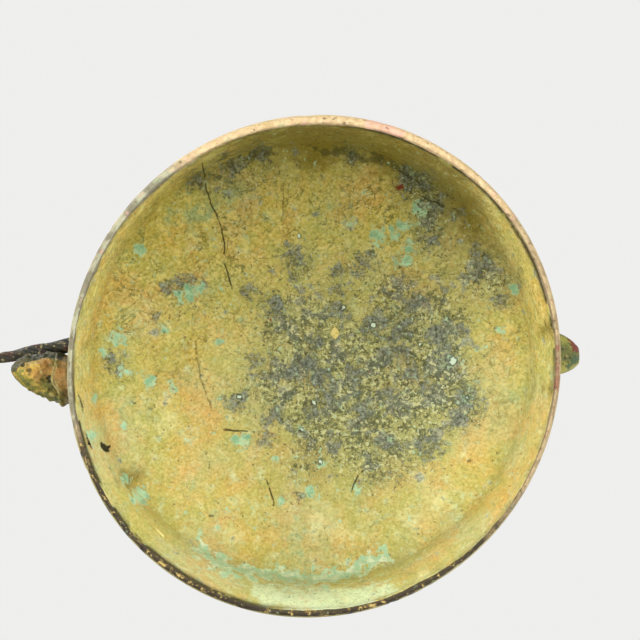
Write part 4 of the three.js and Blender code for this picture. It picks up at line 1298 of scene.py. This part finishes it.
# %% Shape the ring
RING_RADIUS, RING_MIDDLE, WIRE = 24, -20, 3.98
u, v = full_turn(240).T, full_turn(56)
flats = 0.12 * smooth(np.cos(11 * u + 2 * np.sin(3 * u)) * np.cos(2 * v + u), 0.2, 1)
from_middle = RING_RADIUS + (WIRE - flats) * np.cos(v)
ring_rows = np.stack(((WIRE - flats) * np.sin(v), from_middle * np.cos(u),
                      RING_MIDDLE + from_middle * np.sin(u)), -1)
ring = skin("hanging_ring", ring_rows * MM, loop=True)
paint_on(ring, relief=0.55 + 2 * flats + 0.4 * (np.abs(np.sin(u)) > 0.92) * (np.cos(v) < 0))
ring_patina = outside_patina("ring_patina", (132, 104, 66), (82, 62, 42), (36, 27, 20), 0.18)
dress(ring, [ring_patina], "ring", "ring_bronze", "suspension_ring")

# %% [markdown]
# ## The bosses
# Twenty bosses stand between the upper two cord lines, each a low dome with a coiled cord on it. The
# coil is a spiral: its height follows the cosine of the angle round the boss plus the distance from
# its middle. All twenty are one mesh, made by turning one grid round the bell's axis.

# %% Shape and place the bosses
BOSSES, BOSS_RADIUS, BOSS_RISE, BOSS_HEIGHT = 20, 5.4, 3.45, 140
COIL_STEP, COIL_DEPTH, BOSS_ROOT = 1.75, 0.55, -1.2
around = full_turn(56)
reach = np.concatenate(([BOSS_RADIUS], np.linspace(BOSS_RADIUS, 0.15, 22)))[:, None]
coil = 0.5 + 0.5 * np.cos(around + 2 * np.pi * reach / COIL_STEP)
dome = BOSS_RISE * np.sqrt(np.clip(1 - (reach / (BOSS_RADIUS + 0.1)) ** 2, 0, 1))
groove = COIL_DEPTH * (1 - coil) * smooth(BOSS_RADIUS - reach, 0.2, 1.0) * smooth(reach, 0.3, 1.0)
stand = dome - groove
stand[0] = BOSS_ROOT
out = float(skirt_radius(BOSS_HEIGHT * MM)) / MM + stand - SUNK
aside, up = reach * np.cos(around), BOSS_HEIGHT + base + reach * np.sin(around)
azimuths = (full_turn(BOSSES) + np.pi / BOSSES).T[..., None]
boss_rows = np.stack((out * np.cos(azimuths) - aside * np.sin(azimuths),
                      out * np.sin(azimuths) + aside * np.cos(azimuths), up + 0 * azimuths), -1)
bosses = skin("bosses", boss_rows * MM)
paint_on(bosses, relief=(0.35 + 0.6 * coil)[None] + 0 * azimuths)
relief_patina = outside_patina("relief_patina", *BODY_TONES, 0.3)
dress(bosses, [relief_patina], "bell", "casting_bronze", "bell_body")

# %% [markdown]
# ## The thunder band
# A band of squared spirals runs between the lower two cord lines. Square spirals are an old pattern
# on ritual bronzes. Each spiral is a line of six bars in its cell, and every other cell is mirrored,
# so that the lines join. A fine thread follows the bars in the ground between them, and a raised edge
# closes the band above and below. The band is a thin closed shell whose back lies inside the wall.


# %% A thin shell on the casting
def thin_shell(name, front, behind, relief, angle):
    """Puts a closed shell on the casting. Its front is radii and heights in metres, row by row, and
    two rows behind its last and first row close it. The relief is the front's own height."""
    radii, levels = (np.vstack([rows + 0 * angle for rows in pair]) for pair in zip(front, behind))
    mesh = skin(name, turned(radii, levels, angle), loop=True)
    paint_on(mesh, relief=np.vstack((relief, 0 * relief[:2])))
    dress(mesh, [relief_patina], "bell", "casting_bronze", "bell_body")


# %% Shape the thunder band
CELLS, BAND_COLUMNS, BAND_ROWS = 30, 1440, 64
BAND_MIDDLE, BAND_HALF, GROUND_PROUD, LINE_PROUD, BAND_BACK = 37, 11.8, 0.06, 0.64, 0.8
BAR_HALF, BAR_FOOT, THREAD_OFF, THREAD_HALF, THREAD_PROUD = 0.75, 1.3, 2.35, 0.4, 0.6
SPIRAL = np.array([(-13.2, -8.8), (9, -8.8), (9, 8.8), (-9, 8.8), (-9, -4), (4, -4), (4, 2.5)])
angle = full_turn(BAND_COLUMNS)
heights = np.linspace(BAND_MIDDLE - BAND_HALF, BAND_MIDDLE + BAND_HALF, BAND_ROWS)[:, None]
from_line = heights - BAND_MIDDLE
cell = angle * CELLS / (2 * np.pi)
mirror = 1 - 2 * (np.floor(cell) % 2)
along = (cell % 1 - 0.5) * mirror * 2 * np.pi * skirt_mm / CELLS
bar_middle, bar_half = (SPIRAL[1:] + SPIRAL[:-1]) / 2, np.abs(SPIRAL[1:] - SPIRAL[:-1]) / 2
off_bars = np.maximum(np.abs(along[..., None] - bar_middle[:, 0]) - bar_half[:, 0],
                      np.abs(from_line[..., None] - bar_middle[:, 1]) - bar_half[:, 1]).min(-1)
bars = 1 - smooth(off_bars, BAR_HALF, BAR_FOOT)
thread = THREAD_PROUD * np.exp(-((off_bars - THREAD_OFF) / THREAD_HALF) ** 2) * (np.abs(from_line) < 9.4)
edge = smooth(np.abs(from_line) + 0 * angle, 10.5, 11.0)
ridge = np.maximum(np.maximum(bars, thread), edge)
inset = smooth(24 - 2 * np.abs(from_line), 0.4, 1.4)
front = skirt_radius(heights * MM) + (GROUND_PROUD + LINE_PROUD * ridge) * MM * inset
ends = heights[[-1, 0]] * MM
thin_shell("thunder_band", (front, heights * MM), (skirt_radius(ends) - BAND_BACK * MM, ends), ridge, angle)

# %% [markdown]
# ## The petals on the crown
# Sixteen lotus petals lie round the crown with their tips outwards. Each has a raised rim and a soft
# swell inside it. Its half width at a share v of its length is the root of 1 - v^3, so that it
# ends in a round point.

# %% Shape the petals
PETALS, PETAL_COLUMNS, PETAL_ROWS, PETAL_BACK = 16, 960, 60, 0.9
PETAL_START, PETAL_LENGTH = 58, 45
angle = full_turn(PETAL_COLUMNS)
reach = np.linspace(56, 105, PETAL_ROWS)[:, None]
across = np.abs(2 * (angle * PETALS / (2 * np.pi) % 1) - 1)
v = (reach - PETAL_START) / PETAL_LENGTH
on_petal = np.clip(v, 0, 1)
aside = across / np.sqrt(np.clip(1 - on_petal ** 3, 0.0001, 1))
within = (1 - smooth(aside, 0.93, 1.0)) * (1 - smooth(v, 0.97, 1.0)) * smooth(v, 0, 0.03)
rim = smooth(aside, 0.74, 0.84)
inner_rim = np.exp(-((aside - 0.5) / 0.07) ** 2) * smooth(1 - v, 0.2, 0.35)
swell = (1 - np.clip(aside, 0, 1) ** 2) * np.sin(np.pi * on_petal)
petal = within * (0.35 + 0.5 * rim + 0.35 * inner_rim + 0.5 * swell)
level = dome_height(reach * MM, DOME_RADIUS)
ends = (reach[[-1, 0]] * MM, level[[-1, 0]] - PETAL_BACK * MM)
thin_shell("lotus_petals", (reach * MM, level + (GROUND_PROUD + petal) * MM), ends, petal, angle)
